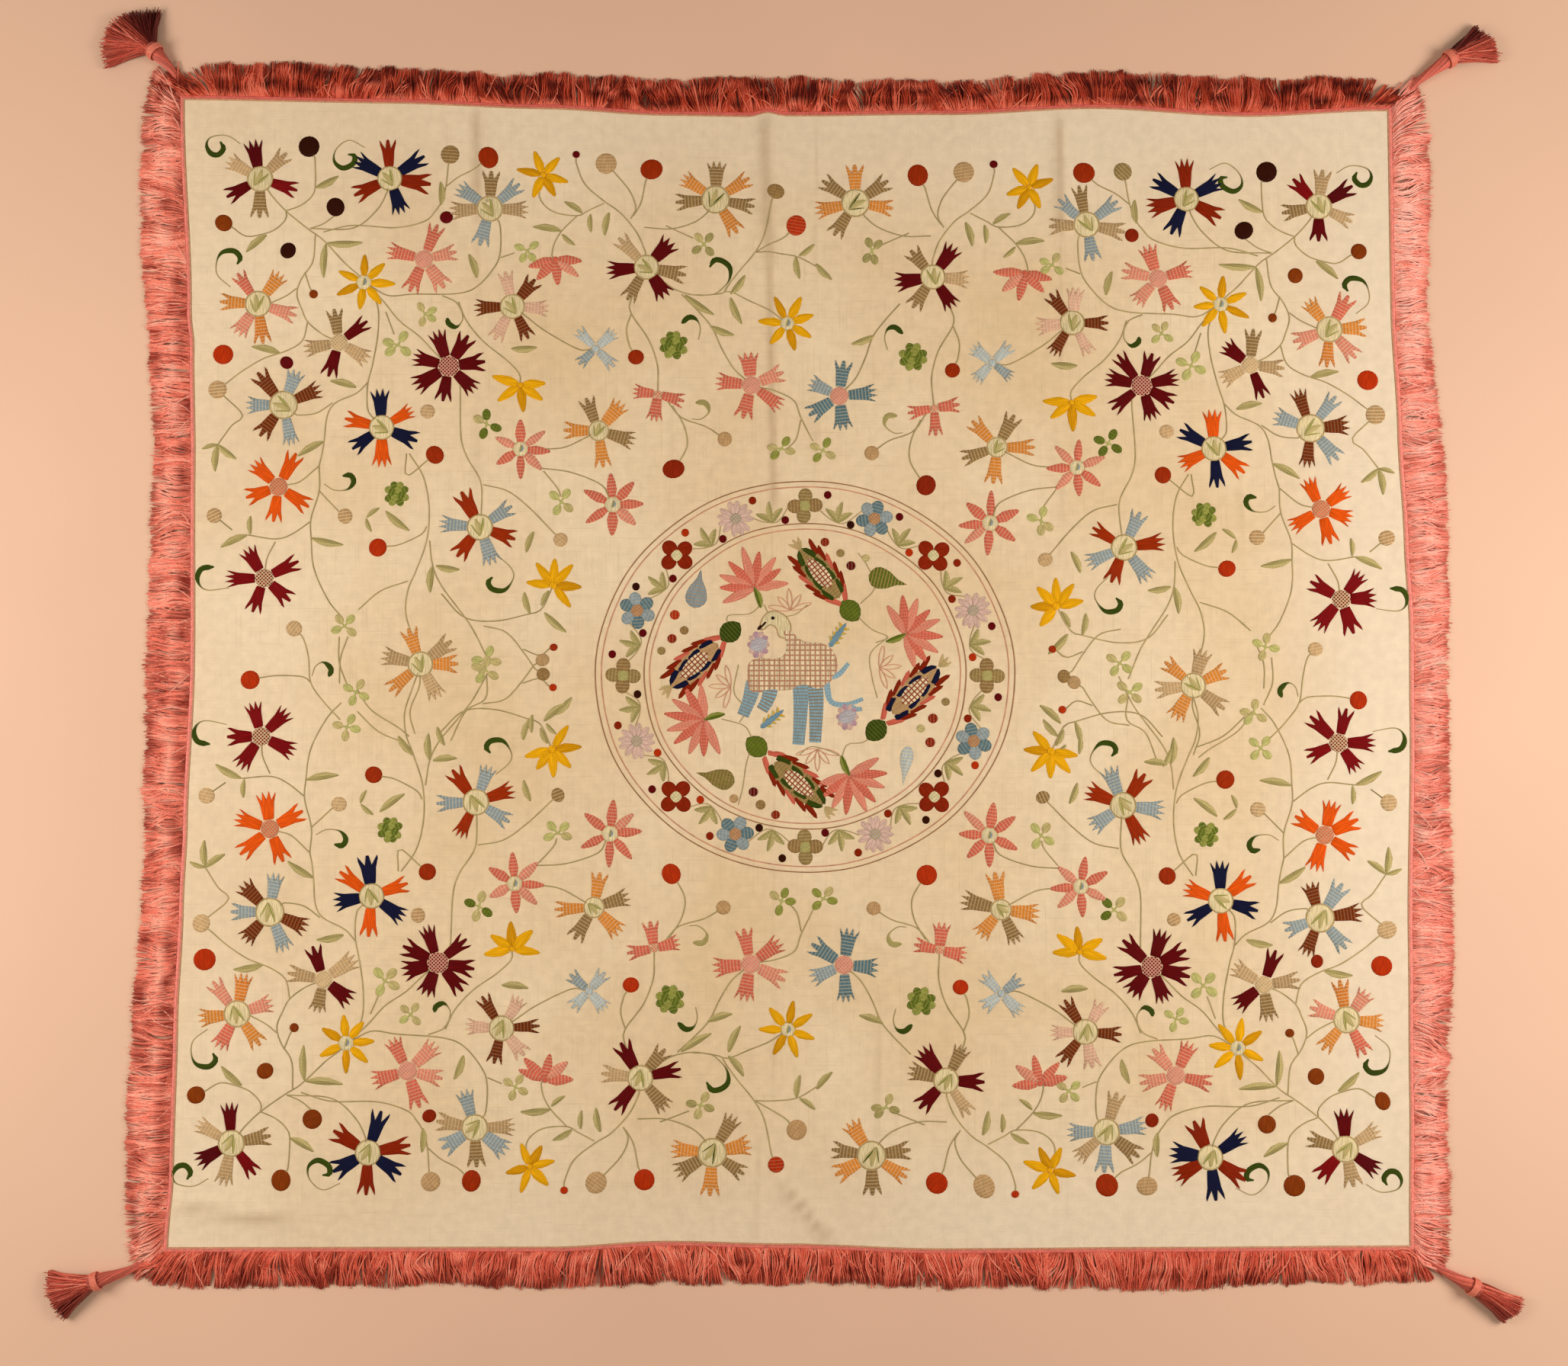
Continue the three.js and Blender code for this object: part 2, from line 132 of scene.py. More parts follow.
def clothPoint(u, v):
    # Point of the linen between its four edges, u from left to right and v from foot to head
    top, right, bottom, left = sides
    u1, v1 = u[..., None], v[..., None]
    low = bottomLeft + (bottomRight - bottomLeft) * u1
    high = topLeft + (topRight - topLeft) * u1
    straight = low + (high - low) * v1
    upright = edgePoint(bottom, 1 - u) * (1 - v1) + edgePoint(top, u) * v1
    paintedLightLevel = edgePoint(left, v) * (1 - u1) + edgePoint(right, 1 - v) * u1
    return upright + paintedLightLevel - straight


# The CAD frame has its origin under the middle of the whole object, so the cloth is shifted to it
outline = np.concatenate([edgePoint(side, np.linspace(0, 1, 401)) for side in sides])
ownMiddle = (outline.min(axis=0) + outline.max(axis=0)) / 2
nodeLow, nodeHigh = (np.array(corner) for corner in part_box("linen_cloth"))
shift = (nodeLow + nodeHigh)[:2] / 2 / mm - ownMiddle
print("cloth frame shifted by", np.round(shift, 2), "mm")

# Soft ridges left in the cloth, their ends, rise and reach, and the fine storage creases
folds = [
    {"start": (-42, 990), "end": (-34, 760), "rise": 9, "reach": 17},
    {"start": (-34, 760), "end": (-26, 330), "rise": 3, "reach": 13},
    {"start": (497, 990), "end": (498, 830), "rise": 6, "reach": 14},
    {"start": (-570, 1000), "end": (-566, 860), "rise": 4, "reach": 14},
    {"start": (4, -925), "end": (60, -985), "rise": 6, "reach": 14},
    {"start": (-1050, -950), "end": (-900, -968), "rise": 6, "reach": 16},
]
creases = [
    {"start": (-28, 380), "end": (-24, -860), "rise": 0.6, "reach": 4},
    {"start": (52, 985), "end": (50, 400), "rise": 0.9, "reach": 4},
    {"start": (498, 880), "end": (494, -930), "rise": 0.6, "reach": 4},
    {"start": (-566, 900), "end": (-562, 250), "rise": 0.5, "reach": 4},
    {"start": (820, 370), "end": (822, 60), "rise": 1.1, "reach": 6},
    {"start": (163, -600), "end": (163, -800), "rise": 1.0, "reach": 6},
    {"start": (-52, -860), "end": (-54, -985), "rise": 1.3, "reach": 7},
]
linen = {
    "thickness": 2.0, "columns": 128, "rows": 122, "leastColumn": 3.5,
    "creaseSteps": (-1.3, -0.6, 0, 0.6, 1.3), "uprightSlack": 20, "fade": 60, "rippleRise": 1.3,
    # Along folds and creases the linen is darkened, partly as soil and partly as painted shade
    "flatFrom": (1075, 1005), "flatWidth": 70, "foldSoilAndShade": 0.5, "creaseSoilAndShade": 0.18, "soilAndShadeReach": 0.55,
    "paleFrom": 0.7, "paleWidth": 0.28, "paleShare": 0.62, "litRight": 0.3,
}


def ridgeHeight(ridge, x, y):
    start, end = np.array(ridge["start"], float), np.array(ridge["end"], float)
    length = np.hypot(*(end - start))
    run = (end - start) / length
    place = (x - start[0]) * run[0] + (y - start[1]) * run[1]
    away = (x - start[0]) * run[1] - (y - start[1]) * run[0]
    past = np.maximum(np.maximum(-place, place - length), 0)
    return ridge["rise"] * np.exp(-((away / ridge["reach"]) ** 2) - (past / linen["fade"]) ** 2 * 4)


def underHeight(x, y):
    # Height of the linen's underside: folds, fine creases and slow ripples that die out at the rim
    height = np.zeros_like(x)
    for ridge in folds + creases:
        height = np.maximum(height, ridgeHeight(ridge, x, y))
    wave = np.sin(x / 91 + 1.1 * np.sin(y / 170)) * np.sin(y / 133 + 0.8 * np.sin(x / 210 + 2))
    wave = wave + 0.5 * np.sin(x / 47 + y / 63 + 2 * np.sin(y / 240))
    pleats = np.sin(x / 29 + 0.7 * np.sin(x / 140)) * np.exp(-(((y - 985) / 55) ** 2))
    flatX, flatY = linen["flatFrom"]
    room = np.clip(np.minimum(flatX - abs(x), flatY - abs(y - 20)) / linen["flatWidth"], 0, 1)
    ripple = linen["rippleRise"] * np.clip(wave * 0.33 + 0.5 + 0.6 * pleats, 0, 2)
    return height + ripple * smooth(room)


def clothTop(x, y):
    return underHeight(x, y) + linen["thickness"]


# Meshes
def deselectAll():
    if bpy.context.object and bpy.context.object.mode != "OBJECT":
        bpy.ops.object.mode_set(mode="OBJECT")
    bpy.ops.object.select_all(action="DESELECT")


def makeOnly(obj):
    deselectAll()
    obj.select_set(True)
    bpy.context.view_layer.objects.active = obj


def readPoints(mesh):
    co = np.empty(len(mesh.vertices) * 3)
    mesh.vertices.foreach_get("co", co)
    return co.reshape(-1, 3)


def writePoints(mesh, points):
    mesh.vertices.foreach_set("co", np.asarray(points, float).ravel())
    mesh.update()


def addGrid(columns, rows):
    # Flat grid, with the column and the row of each of its points
    deselectAll()
    bpy.ops.mesh.primitive_grid_add(x_subdivisions=columns - 1, y_subdivisions=rows - 1, size=1)
    obj = bpy.context.object
    grid = readPoints(obj.data)
    sizes = np.array([columns, rows])
    column, row = np.rint((grid[:, :2] + 0.5) * (sizes - 1)).astype(int).T
    return obj, column, row


def tubeFaces(count, sides, closed):
    # Corners and sizes of the faces between rings of points, with one over each end of an open run
    last = count if closed else count - 1
    i = np.arange(last)[:, None] * sides
    nextRing = ((np.arange(last) + 1) % count)[:, None] * sides
    k = np.arange(sides)
    k2 = (k + 1) % sides
    corners = np.stack([i + k, nextRing + k, nextRing + k2, i + k2], axis=2).reshape(-1)
    sizes = np.full(last * sides, 4)
    if not closed:
        corners = np.concatenate([corners, k, (count - 1) * sides + k[::-1]])
        sizes = np.append(sizes, [sides, sides])
    return corners, sizes


def meshFromArrays(name, points, corners, sizes):
    # Object from points in mm of the cloth frame, face corners in one row, and corners per face
    mesh = bpy.data.meshes.new(name)
    placed = points.copy()
    placed[:, :2] += shift
    mesh.vertices.add(len(points))
    mesh.vertices.foreach_set("co", (placed * mm).ravel())
    mesh.loops.add(len(corners))
    mesh.loops.foreach_set("vertex_index", corners.astype(np.int32))
    mesh.polygons.add(len(sizes))
    mesh.polygons.foreach_set("loop_start", (np.cumsum(sizes) - sizes).astype(np.int32))
    mesh.update(calc_edges=True)
    mesh.validate()
    obj = bpy.data.objects.new(name, mesh)
    bpy.context.collection.objects.link(obj)
    return obj


def addColour(mesh, name, values, domain):
    rgba = np.ones((len(values), 4))
    rgba[:, :values.shape[1]] = values
    layer = mesh.color_attributes.new(name=name, type="FLOAT_COLOR", domain=domain)
    layer.data.foreach_set("color", rgba.ravel())


def finishPiece(obj, material, angle=50, replaced=()):
    obj.data.materials.clear()
    obj.data.materials.append(material)
    makeOnly(obj)
    bpy.ops.object.shade_smooth_by_angle(angle=math.radians(angle))
    obj.select_set(False)
    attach(obj, "root")
    if replaced:
        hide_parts(*replaced)
    obj.data.calc_loop_triangles()
    print("made", obj.name, len(obj.data.loop_triangles), "triangles")


# Materials
def newMaterial(name, roughness, specular=0.5, sheen=0.0):
    material = bpy.data.materials.new(name)
    material.use_nodes = True
    shader = material.node_tree.nodes["Principled BSDF"]
    shader.inputs["Roughness"].default_value = roughness
    shader.inputs["Specular IOR Level"].default_value = specular
    shader.inputs["Sheen Weight"].default_value = sheen
    return material, material.node_tree, shader


def isLink(value):
    return isinstance(value, bpy.types.NodeSocket)


def addNode(tree, kind, inputs, **settings):
    # Node with its settings, and a value or a link for each of its inputs
    node = tree.nodes.new(kind)
    for key, value in settings.items():
        setattr(node, key, value)
    for key, value in inputs.items():
        if isLink(value):
            tree.links.new(value, node.inputs[key])
        else:
            node.inputs[key].default_value = value
    return node


def compute(tree, operation, a, b=0.0):
    return addNode(tree, "ShaderNodeMath", {0: a, 1: b}, operation=operation).outputs[0]


def mixColour(tree, share, a, b):
    # Mix of two colours, each a link or 0-255 values
    a, b = (colour if isLink(colour) else (*toLinear(colour), 1) for colour in (a, b))
    return addNode(tree, "ShaderNodeMix", {0: share, 6: a, 7: b}, data_type="RGBA").outputs[2]


def ramp(tree, value, low, high, fromValue, toValue):
    inputs = {0: value, 1: fromValue, 2: toValue, 3: low, 4: high}
    return addNode(tree, "ShaderNodeMapRange", inputs).outputs[0]


def noise(tree, vector, scale, detail):
    inputs = {"Vector": vector, "Scale": scale, "Detail": detail}
    return addNode(tree, "ShaderNodeTexNoise", inputs).outputs["Fac"]


def streaks(tree, vector, stretch):
    # Noise drawn out along one axis
    drawn = addNode(tree, "ShaderNodeMapping", {"Vector": vector, "Scale": stretch}).outputs["Vector"]
    return noise(tree, drawn, 1, 3)


def waves(tree, place, pitch):
    return compute(tree, "SINE", compute(tree, "MULTIPLY", place, 2 * math.pi / pitch))


def bumped(tree, shader, height, distance, strength):
    inputs = {"Height": height, "Distance": distance, "Strength": strength}
    bump = addNode(tree, "ShaderNodeBump", inputs)
    tree.links.new(bump.outputs["Normal"], shader.inputs["Normal"])


def scaled(tree, colour, factor):
    # Colour times a grey factor
    return addNode(tree, "ShaderNodeVectorMath", {0: colour, "Scale": factor}, operation="SCALE").outputs[0]


def paint(tree, shader, colour):
    tree.links.new(colour, shader.inputs["Base Color"])


def attribute(tree, name):
    return addNode(tree, "ShaderNodeVertexColor", {}, layer_name=name).outputs["Color"]


def separate(tree, kind, source):
    return addNode(tree, "ShaderNodeSeparate" + kind, {0: source}).outputs


def objectPlace(tree):
    return tree.nodes.new("ShaderNodeTexCoord").outputs["Object"]


linenLook = {
    "warm": (228, 198, 154), "light": (238, 214, 176), "patchScale": 2.6, "patchRange": (0.35, 0.65),
    "slub": (208, 176, 132), "slubStretch": ((520, 9, 1), (9, 520, 1)), "slubRange": (0, 0.55, 0.57, 0.8),
    # Colours of the paler border, partly painted light, and of the soil and painted shade along folds and
    # creases
    "paleAndLit": (234, 214, 184), "soilAndShade": (178, 146, 106), "speckleScale": 55,
    "speckleTone": (0.95, 1.05, 0.3, 0.7), "threadPitch": 1.3, "weaveHeight": 0.35, "slubHeight": 1.6,
}


def linenMaterial():
    look = linenLook
    material, tree, shader = newMaterial("unbleached linen", 0.9, 0.2, 0.25)
    where = objectPlace(tree)
    patches = ramp(tree, noise(tree, where, look["patchScale"], 4), 0, 1, *look["patchRange"])
    speckle = noise(tree, where, look["speckleScale"], 3)
    warp, weft = (ramp(tree, streaks(tree, where, stretch), *look["slubRange"])
                  for stretch in look["slubStretch"])
    slubs = compute(tree, "MAXIMUM", warp, weft)
    # Per point: darker along folds and creases (soil and painted shade), paler at the border (partly painted
    # light)
    soilAndShade, paleAndLit, _ = separate(tree, "Color", attribute(tree, "wearShadeAndLight"))
    base = mixColour(tree, patches, look["warm"], look["light"])
    for share, name in ((slubs, "slub"), (paleAndLit, "paleAndLit"), (soilAndShade, "soilAndShade")):
        base = mixColour(tree, share, base, look[name])
    paint(tree, shader, scaled(tree, base, ramp(tree, speckle, *look["speckleTone"])))
    over, under, _ = (waves(tree, axis, look["threadPitch"] * mm) for axis in separate(tree, "XYZ", where))
    weave = compute(tree, "MULTIPLY", compute(tree, "MULTIPLY", over, under), look["weaveHeight"])
    height = compute(tree, "ADD", weave, compute(tree, "MULTIPLY", slubs, look["slubHeight"]))
    bumped(tree, shader, compute(tree, "ADD", height, speckle), 0.0005, 0.7)
    return material


silkLook = {
    "linePitch": 1.1, "lineShadeAndLight": 0.08, "lineHeight": 0.5, "streakStretch": (0.5, 0.045, 1),
    "streakTone": (0.68, 1.3, 0.3, 0.7), "barPitch": 6.0, "barRange": (0, 1, 0.1, 0.7),
    "netPitch": 9.2, "netRange": (1, 0, 0.3, 0.62), "markHeight": 1.6, "wobbleScale": 260,
}


def silkMaterial():
    # Stitches: thread colour, its fine lines along v, couched bars and lattices from the pattern
    look = silkLook
    material, tree, shader = newMaterial("embroidery silk", 0.6, 0.05)
    barShare, netShare, _ = separate(tree, "Color", attribute(tree, "pattern"))
    place = addNode(tree, "ShaderNodeUVMap", {}, uv_map="stitch").outputs[0]
    u, v, _ = separate(tree, "XYZ", place)
    lines = waves(tree, u, look["linePitch"])
    bars = ramp(tree, waves(tree, v, look["barPitch"]), *look["barRange"])
    bars = compute(tree, "MULTIPLY", bars, barShare)
    across, down = (compute(tree, "ABSOLUTE", waves(tree, axis, look["netPitch"])) for axis in (u, v))
    net = ramp(tree, compute(tree, "MINIMUM", across, down), *look["netRange"])
    marks = compute(tree, "MAXIMUM", bars, compute(tree, "MULTIPLY", net, netShare))
    streak = ramp(tree, streaks(tree, place, look["streakStretch"]), *look["streakTone"])
    # The fine lines darken their grooves and lighten their ridges: painted shade and light on the threads
    tone = compute(tree, "ADD", streak, compute(tree, "MULTIPLY", lines, look["lineShadeAndLight"]))
    base = scaled(tree, attribute(tree, "thread"), tone)
    paint(tree, shader, mixColour(tree, marks, base, attribute(tree, "second")))
    height = compute(tree, "MULTIPLY", lines, look["lineHeight"])
    height = compute(tree, "ADD", height, compute(tree, "MULTIPLY", marks, look["markHeight"]))
    wobble = noise(tree, objectPlace(tree), look["wobbleScale"], 1)
    bumped(tree, shader, compute(tree, "ADD", height, wobble), 0.0004, 0.6)
    return material


yarnLook = {"fleckScale": 420, "fleckTone": (0.8, 1.2, 0.3, 0.7), "fibreScale": 1400, "fringe": 0.45,
            "band": 0.4}


def yarnMaterial(name, roughness):
    # Cut yarn of the fringe and tassels, with a tone for each strand
    material, tree, shader = newMaterial(name, roughness, 0.3, 0.05)
    where = objectPlace(tree)
    fleck = ramp(tree, noise(tree, where, yarnLook["fleckScale"], 2), *yarnLook["fleckTone"])
    paint(tree, shader, scaled(tree, attribute(tree, "tone"), fleck))
    bumped(tree, shader, noise(tree, where, yarnLook["fibreScale"], 1), 0.0004, 0.5)
    return material


def floorMaterial():
    material, tree, shader = newMaterial("pale floor", 0.8)
    tone = ramp(tree, noise(tree, objectPlace(tree), 1.3, 3), 0.97, 1.03, 0.3, 0.7)
    paint(tree, shader, scaled(tree, tuple(toLinear(studio["floorColour"])), tone))
    return material


silk = silkMaterial()

# Linen: a grid laid on the outline and its folds, given its thickness afterwards


def gridShares(count, length, low, wanted):
    even = np.linspace(0, 1, count + 1)
    extra = [(place - low) / length for place in wanted]
    shares = [0.0]
    for share in sorted([*even[1:-1], *extra]):
        if (share - shares[-1]) * length > linen["leastColumn"] and share < 1:
            shares.append(share)
    return np.array([*shares, 1.0])


def makeLinen():
    upright = [r for r in folds + creases if abs(r["start"][0] - r["end"][0]) < linen["uprightSlack"]]
    wanted = [(r["start"][0] + r["end"][0]) / 2 + step * r["reach"]
              for r in upright for step in linen["creaseSteps"]]
    us = gridShares(linen["columns"], topRight[0] - topLeft[0], topLeft[0], wanted)
    vs = gridShares(linen["rows"], topLeft[1] - bottomLeft[1], bottomLeft[1], [])
    sheet, column, row = addGrid(len(us), len(vs))
    sheet.name = "linen_sheet"
    place = clothPoint(us[column], vs[row])
    writePoints(sheet.data, np.column_stack([place + shift, underHeight(*place.T)]) * mm)
    # Soil and painted shade: darker along each fold and crease, most of all along the folds
    soilAndShade = np.zeros(len(place))
    for ridge in folds + creases:
        depth = linen["foldSoilAndShade"] if ridge in folds else linen["creaseSoilAndShade"]
        line = {**ridge, "rise": depth, "reach": ridge["reach"] * linen["soilAndShadeReach"]}
        soilAndShade = np.maximum(soilAndShade, ridgeHeight(line, *place.T))
    # The border is painted paler than the middle, most of all on the right: partly painted light, where the
    # side lamps light it
    share = place / topRight
    border = smooth(np.clip((abs(share).max(axis=1) - linen["paleFrom"]) / linen["paleWidth"], 0, 1))
    paleAndLitBorder = border * (linen["paleShare"] + linen["litRight"] * share[:, 0])
    addColour(sheet.data, "wearShadeAndLight", np.column_stack([soilAndShade, paleAndLitBorder, 0 * soilAndShade]), "POINT")
    solid = sheet.modifiers.new("thickness", "SOLIDIFY")
    solid.thickness = linen["thickness"] * mm
    solid.offset = 1
    makeOnly(sheet)
    bpy.ops.object.modifier_apply(modifier=solid.name)
    finishPiece(sheet, linenMaterial(), 40, ["linen_cloth"])
    return sheet


linenSheet = makeLinen()

# Stitch masters: each is modelled once, read into arrays, and stamped many times
# The last value darkens the sunk rim of each stitch: painted shade
stitch = {"sunk": 0.3, "petalRise": 1.6, "leafRise": 1.1, "discRise": 1.9, "hollow": 0.2, "paintedRimShade": 0.72}


def takeMaster(obj):
    # Arrays of a modelled stitch: points in mm, face corners, corners per face and role per face
    mesh = obj.data
    corners = np.empty(len(mesh.loops), np.int32)
    mesh.loops.foreach_get("vertex_index", corners)
    sizes = np.array([len(face.vertices) for face in mesh.polygons])
    roles = np.array([face.material_index for face in mesh.polygons])
    points = readPoints(mesh).copy()
    bpy.data.objects.remove(obj)
    bpy.data.meshes.remove(mesh)
    starts = np.cumsum(sizes) - sizes
    back = np.concatenate([np.arange(a + n - 1, a - 1, -1) for a, n in zip(starts, sizes)])
    roles = np.repeat(roles, sizes)
    return {"points": points, "corners": corners, "sizes": sizes, "roles": roles, "back": back}


def closeUnder(obj):
    # Fills the rim of an open relief with one face underneath
    makeOnly(obj)
    bpy.ops.object.mode_set(mode="EDIT")
    bpy.ops.mesh.select_all(action="SELECT")
    bpy.ops.mesh.region_to_loop()
    bpy.ops.mesh.edge_face_add()
    bpy.ops.mesh.select_all(action="SELECT")
    bpy.ops.mesh.normals_make_consistent(inside=False)
    bpy.ops.object.mode_set(mode="OBJECT")


def reliefGrid(form, shape, rise):
    # Relief of a stitched area, steep at its rim. shape gives the place of (s from -1 to 1, t from 0 to 1)
    obj, column, row = addGrid(len(form["across"]), len(form["along"]))
    s, t = np.array(form["across"])[column], np.array(form["along"])[row]
    x, y = shape(s, t)
    edge = (abs(s) == 1) | (t == 0) | (t == 1)
    z = np.where(edge, -stitch["sunk"], rise * (1 - stitch["hollow"] * s * s))
    writePoints(obj.data, np.column_stack([x, y, z]))
    closeUnder(obj)
    return obj


crown = {
    "length": 51, "baseHalf": 9.0, "waistHalf": 12.0, "tipHalf": 18.6,
    "fingers": ((0, 0.12, 0.4, 0.84, 1), (1, 0.97, 0.64, 0.97, 0.8)),
    "across": (-1, -0.84, -0.4, -0.12, 0.12, 0.4, 0.84, 1), "along": (0, 0.05, 0.35, 0.65, 0.94, 1),
}
forked = {**crown, "fingers": ((0, 0.3, 0.6, 0.92, 1), (0.7, 1, 0.68, 0.93, 0.8)),
          "across": (-1, -0.92, -0.6, -0.3, 0, 0.3, 0.6, 0.92, 1)}
star = {"length": 42, "half": 7.8, "across": (-1, -0.72, 0, 0.72, 1), "along": (0, 0.06, 0.35, 0.65, 0.9, 1)}
leaf = {"length": 36, "half": 6.2, "bend": 2.6, "across": (-1, -0.75, 0, 0.75, 1),
        "along": (0, 0.07, 0.3, 0.6, 0.9, 1)}
flame = {"length": 26, "half": 5.2, "bend": 3.0, "across": (-1, 0, 1), "along": (0, 0.08, 0.4, 0.8, 1)}


def crownShape(s, t, form=crown):
    along = t * np.interp(abs(s), *form["fingers"])
    half = readTable([[0, crown["baseHalf"]], [0.5, crown["waistHalf"]], [1, crown["tipHalf"]]], along)
    return s * half, along * crown["length"]


def forkedShape(s, t):
    return crownShape(s, t, forked)


def starShape(s, t):
    half = star["half"] * np.abs(np.sin(np.pi * t ** 0.66)) ** 0.72 + 0.9
    return s * half, t * star["length"]


def leafShape(s, t):
    half = leaf["half"] * np.abs(np.sin(np.pi * t ** 0.9)) ** 0.8 + 0.3
    return s * half + leaf["bend"] * np.sin(np.pi * t), t * leaf["length"]


def flameShape(s, t):
    half = flame["half"] * (1 - t) ** 0.6 * (0.6 + t) + 0.25
    return s * half + flame["bend"] * t * t, t * flame["length"]


def discMaster(corners, rims, rise):
    # Domed disc of radius 1: a circle, inset and raised in steps
    deselectAll()
    bpy.ops.mesh.primitive_circle_add(vertices=corners, radius=1, fill_type="NGON")
    obj = bpy.context.object
    writePoints(obj.data, readPoints(obj.data) - np.array([0, 0, stitch["sunk"]]))
    bpy.ops.object.mode_set(mode="EDIT")
    bpy.ops.mesh.select_all(action="SELECT")
    height = 0.0
    for inset, paintedLightLevel in rims:
        bpy.ops.mesh.inset(thickness=inset, depth=paintedLightLevel * (rise + stitch["sunk"]) - height)
        height = paintedLightLevel * (rise + stitch["sunk"])
    bpy.ops.object.mode_set(mode="OBJECT")
    closeUnder(obj)
    return takeMaster(obj)


def leafMaster():
    obj = reliefGrid(leaf, leafShape, stitch["leafRise"])
    for face in obj.data.polygons:
        middle = leafShape(0, face.center.y / leaf["length"])[0]
        face.material_index = 1 if face.center.x > middle else 0
    return takeMaster(obj)


def ringMaster():
    # Couched ring of radius 1, its cord 2 mm thick for a ring of 20 mm
    deselectAll()
    bpy.ops.mesh.primitive_torus_add(major_segments=22, minor_segments=5, major_radius=1, minor_radius=0.06)
    obj = bpy.context.object
    points = readPoints(obj.data)
    points[:, 2] *= 18
    writePoints(obj.data, points)
    return takeMaster(obj)


reliefs = (("crown", crown, crownShape), ("forked", forked, forkedShape), ("star", star, starShape),
           ("flame", flame, flameShape))
masters = {name: takeMaster(reliefGrid(form, shape, stitch["petalRise"])) for name, form, shape in reliefs}
masters.update(leaf=leafMaster(), ring=ringMaster(),
               disc=discMaster(16, [(0.09, 0.75), (0.3, 1.0)], stitch["discRise"]))
print("stitch masters modelled")


def newLayer(name):
    return {"name": name, "points": [], "corners": [], "sizes": [], "uv": [], "thread": [], "second": [],
            "pattern": [], "count": 0}


def addArrays(layer, points, corners, sizes, uv, colour, second, pattern):
    # Joins one stitched area to its layer. colour and second are one colour, or one for each corner
    total = len(corners)
    layer["points"].append(points)
    layer["corners"].append(corners + layer["count"])
    layer["sizes"].append(sizes)
    layer["uv"].append(uv)
    for key, value in (("thread", colour), ("second", second), ("pattern", pattern)):
        layer[key].append(np.broadcast_to(np.asarray(value, float), (total, 3)))
    layer["count"] += len(points)


def shade(name, spread=0.06):
    # Thread colour with the slight change from skein to skein
    return thread[name] * (1 + spread * (2 * rng.random() - 1))


def stamp(layer, master, at, turn, colours, size=(1, 1, 1), flip=False, bars=0.0, net=0.0, second="paleCream",
          lift=0.0, grain=1.0):
    # Puts a stitch master on the cloth, its own +y turned to the given angle in degrees
    source = masters[master]
    sx, sy, sz = size
    x, y = source["points"][:, 0] * sx, source["points"][:, 1] * sy
    z = source["points"][:, 2] * sz
    corners, roles = source["corners"], source["roles"]
    uv = np.column_stack([x, y])[corners] * grain
    if flip:
        x = -x
        corners, uv, roles = corners[source["back"]], uv[source["back"]], roles[source["back"]]
    a = math.radians(turn - 90)
    px = at[0] + x * math.cos(a) - y * math.sin(a)
    py = at[1] + x * math.sin(a) + y * math.cos(a)
    points = np.column_stack([px, py, clothTop(px, py) + z + lift])
    shades = np.array([shade(name) for name in colours])
    # Painted shade: the sunk rim of each stitch is darker, as if shaded where it dips into the linen
    rimShade = np.where(source["points"][:, 2] < 0, stitch["paintedRimShade"], 1.0)[corners]
    colour = shades[np.minimum(roles, len(colours) - 1)] * rimShade[:, None]
    addArrays(layer, points, corners, source["sizes"], uv, colour, thread[second], (bars, net, 0))


def smoothPath(points, step, closed=False):
    # Evenly spaced points of a smooth curve through the given ones
    p = np.array(points, float)
    if closed:
        p = np.vstack([p[-1], p, p[0], p[1]])
    else:
        p = np.vstack([2 * p[0] - p[1], p, 2 * p[-1] - p[-2]])
    t = np.linspace(0, 1, 12, endpoint=False)[:, None]
    parts = []
    for a, b, c, d in zip(p[:-3], p[1:-2], p[2:-1], p[3:]):
        parts.append(0.5 * (2 * b + (c - a) * t + (2 * a - 5 * b + 4 * c - d) * t ** 2
                            + (3 * b - a - 3 * c + d) * t ** 3))
    fine = np.vstack([*parts, p[-2]])
    length = np.concatenate([[0], np.cumsum(np.hypot(*np.diff(fine, axis=0).T[:2]))])
    count = max(3, int(round(length[-1] / step)) + 1)
    at = np.linspace(0, length[-1], count)
    return np.column_stack([np.interp(at, length, fine[:, k]) for k in range(fine.shape[1])])


def sweep(layer, path, half, rise, colour, second="paleCream", bars=0.0, closed=False):
    # Line of stitches along a path, half its width at each point; one colour, or one for each point
    half = np.broadcast_to(np.asarray(half, float), (len(path),))
    if closed:
        tangent = np.roll(path, -1, axis=0) - np.roll(path, 1, axis=0)
    else:
        tangent = np.gradient(path, axis=0)
    left = leftOf(unit(tangent))
    slope, foot = (0.62, rise * 0.85), (1, -stitch["sunk"])
    section = [foot, slope, (0, rise), (-slope[0], slope[1]), (-1, foot[1])]
    along = np.concatenate([[0], np.cumsum(np.hypot(*np.diff(path, axis=0).T))])
    rings, uvs = [], []
    for side, z in section:
        x, y = (path + left * (half * side)[:, None]).T
        high = z * np.clip(half / half.max(), 0.45, 1) if z > 0 else z
        rings.append(np.column_stack([x, y, clothTop(x, y) + high]))
        uvs.append(np.column_stack([half * side, along]))
    corners, sizes = tubeFaces(len(path), len(section), closed)
    if np.ndim(colour) == 2:
        colour = np.repeat(colour, len(section), axis=0)[corners]
    uv = np.stack(uvs, axis=1).reshape(-1, 2)[corners]
    points = np.stack(rings, axis=1).reshape(-1, 3)
    addArrays(layer, points, corners, sizes, uv, colour, thread[second], (bars, 0, 0))


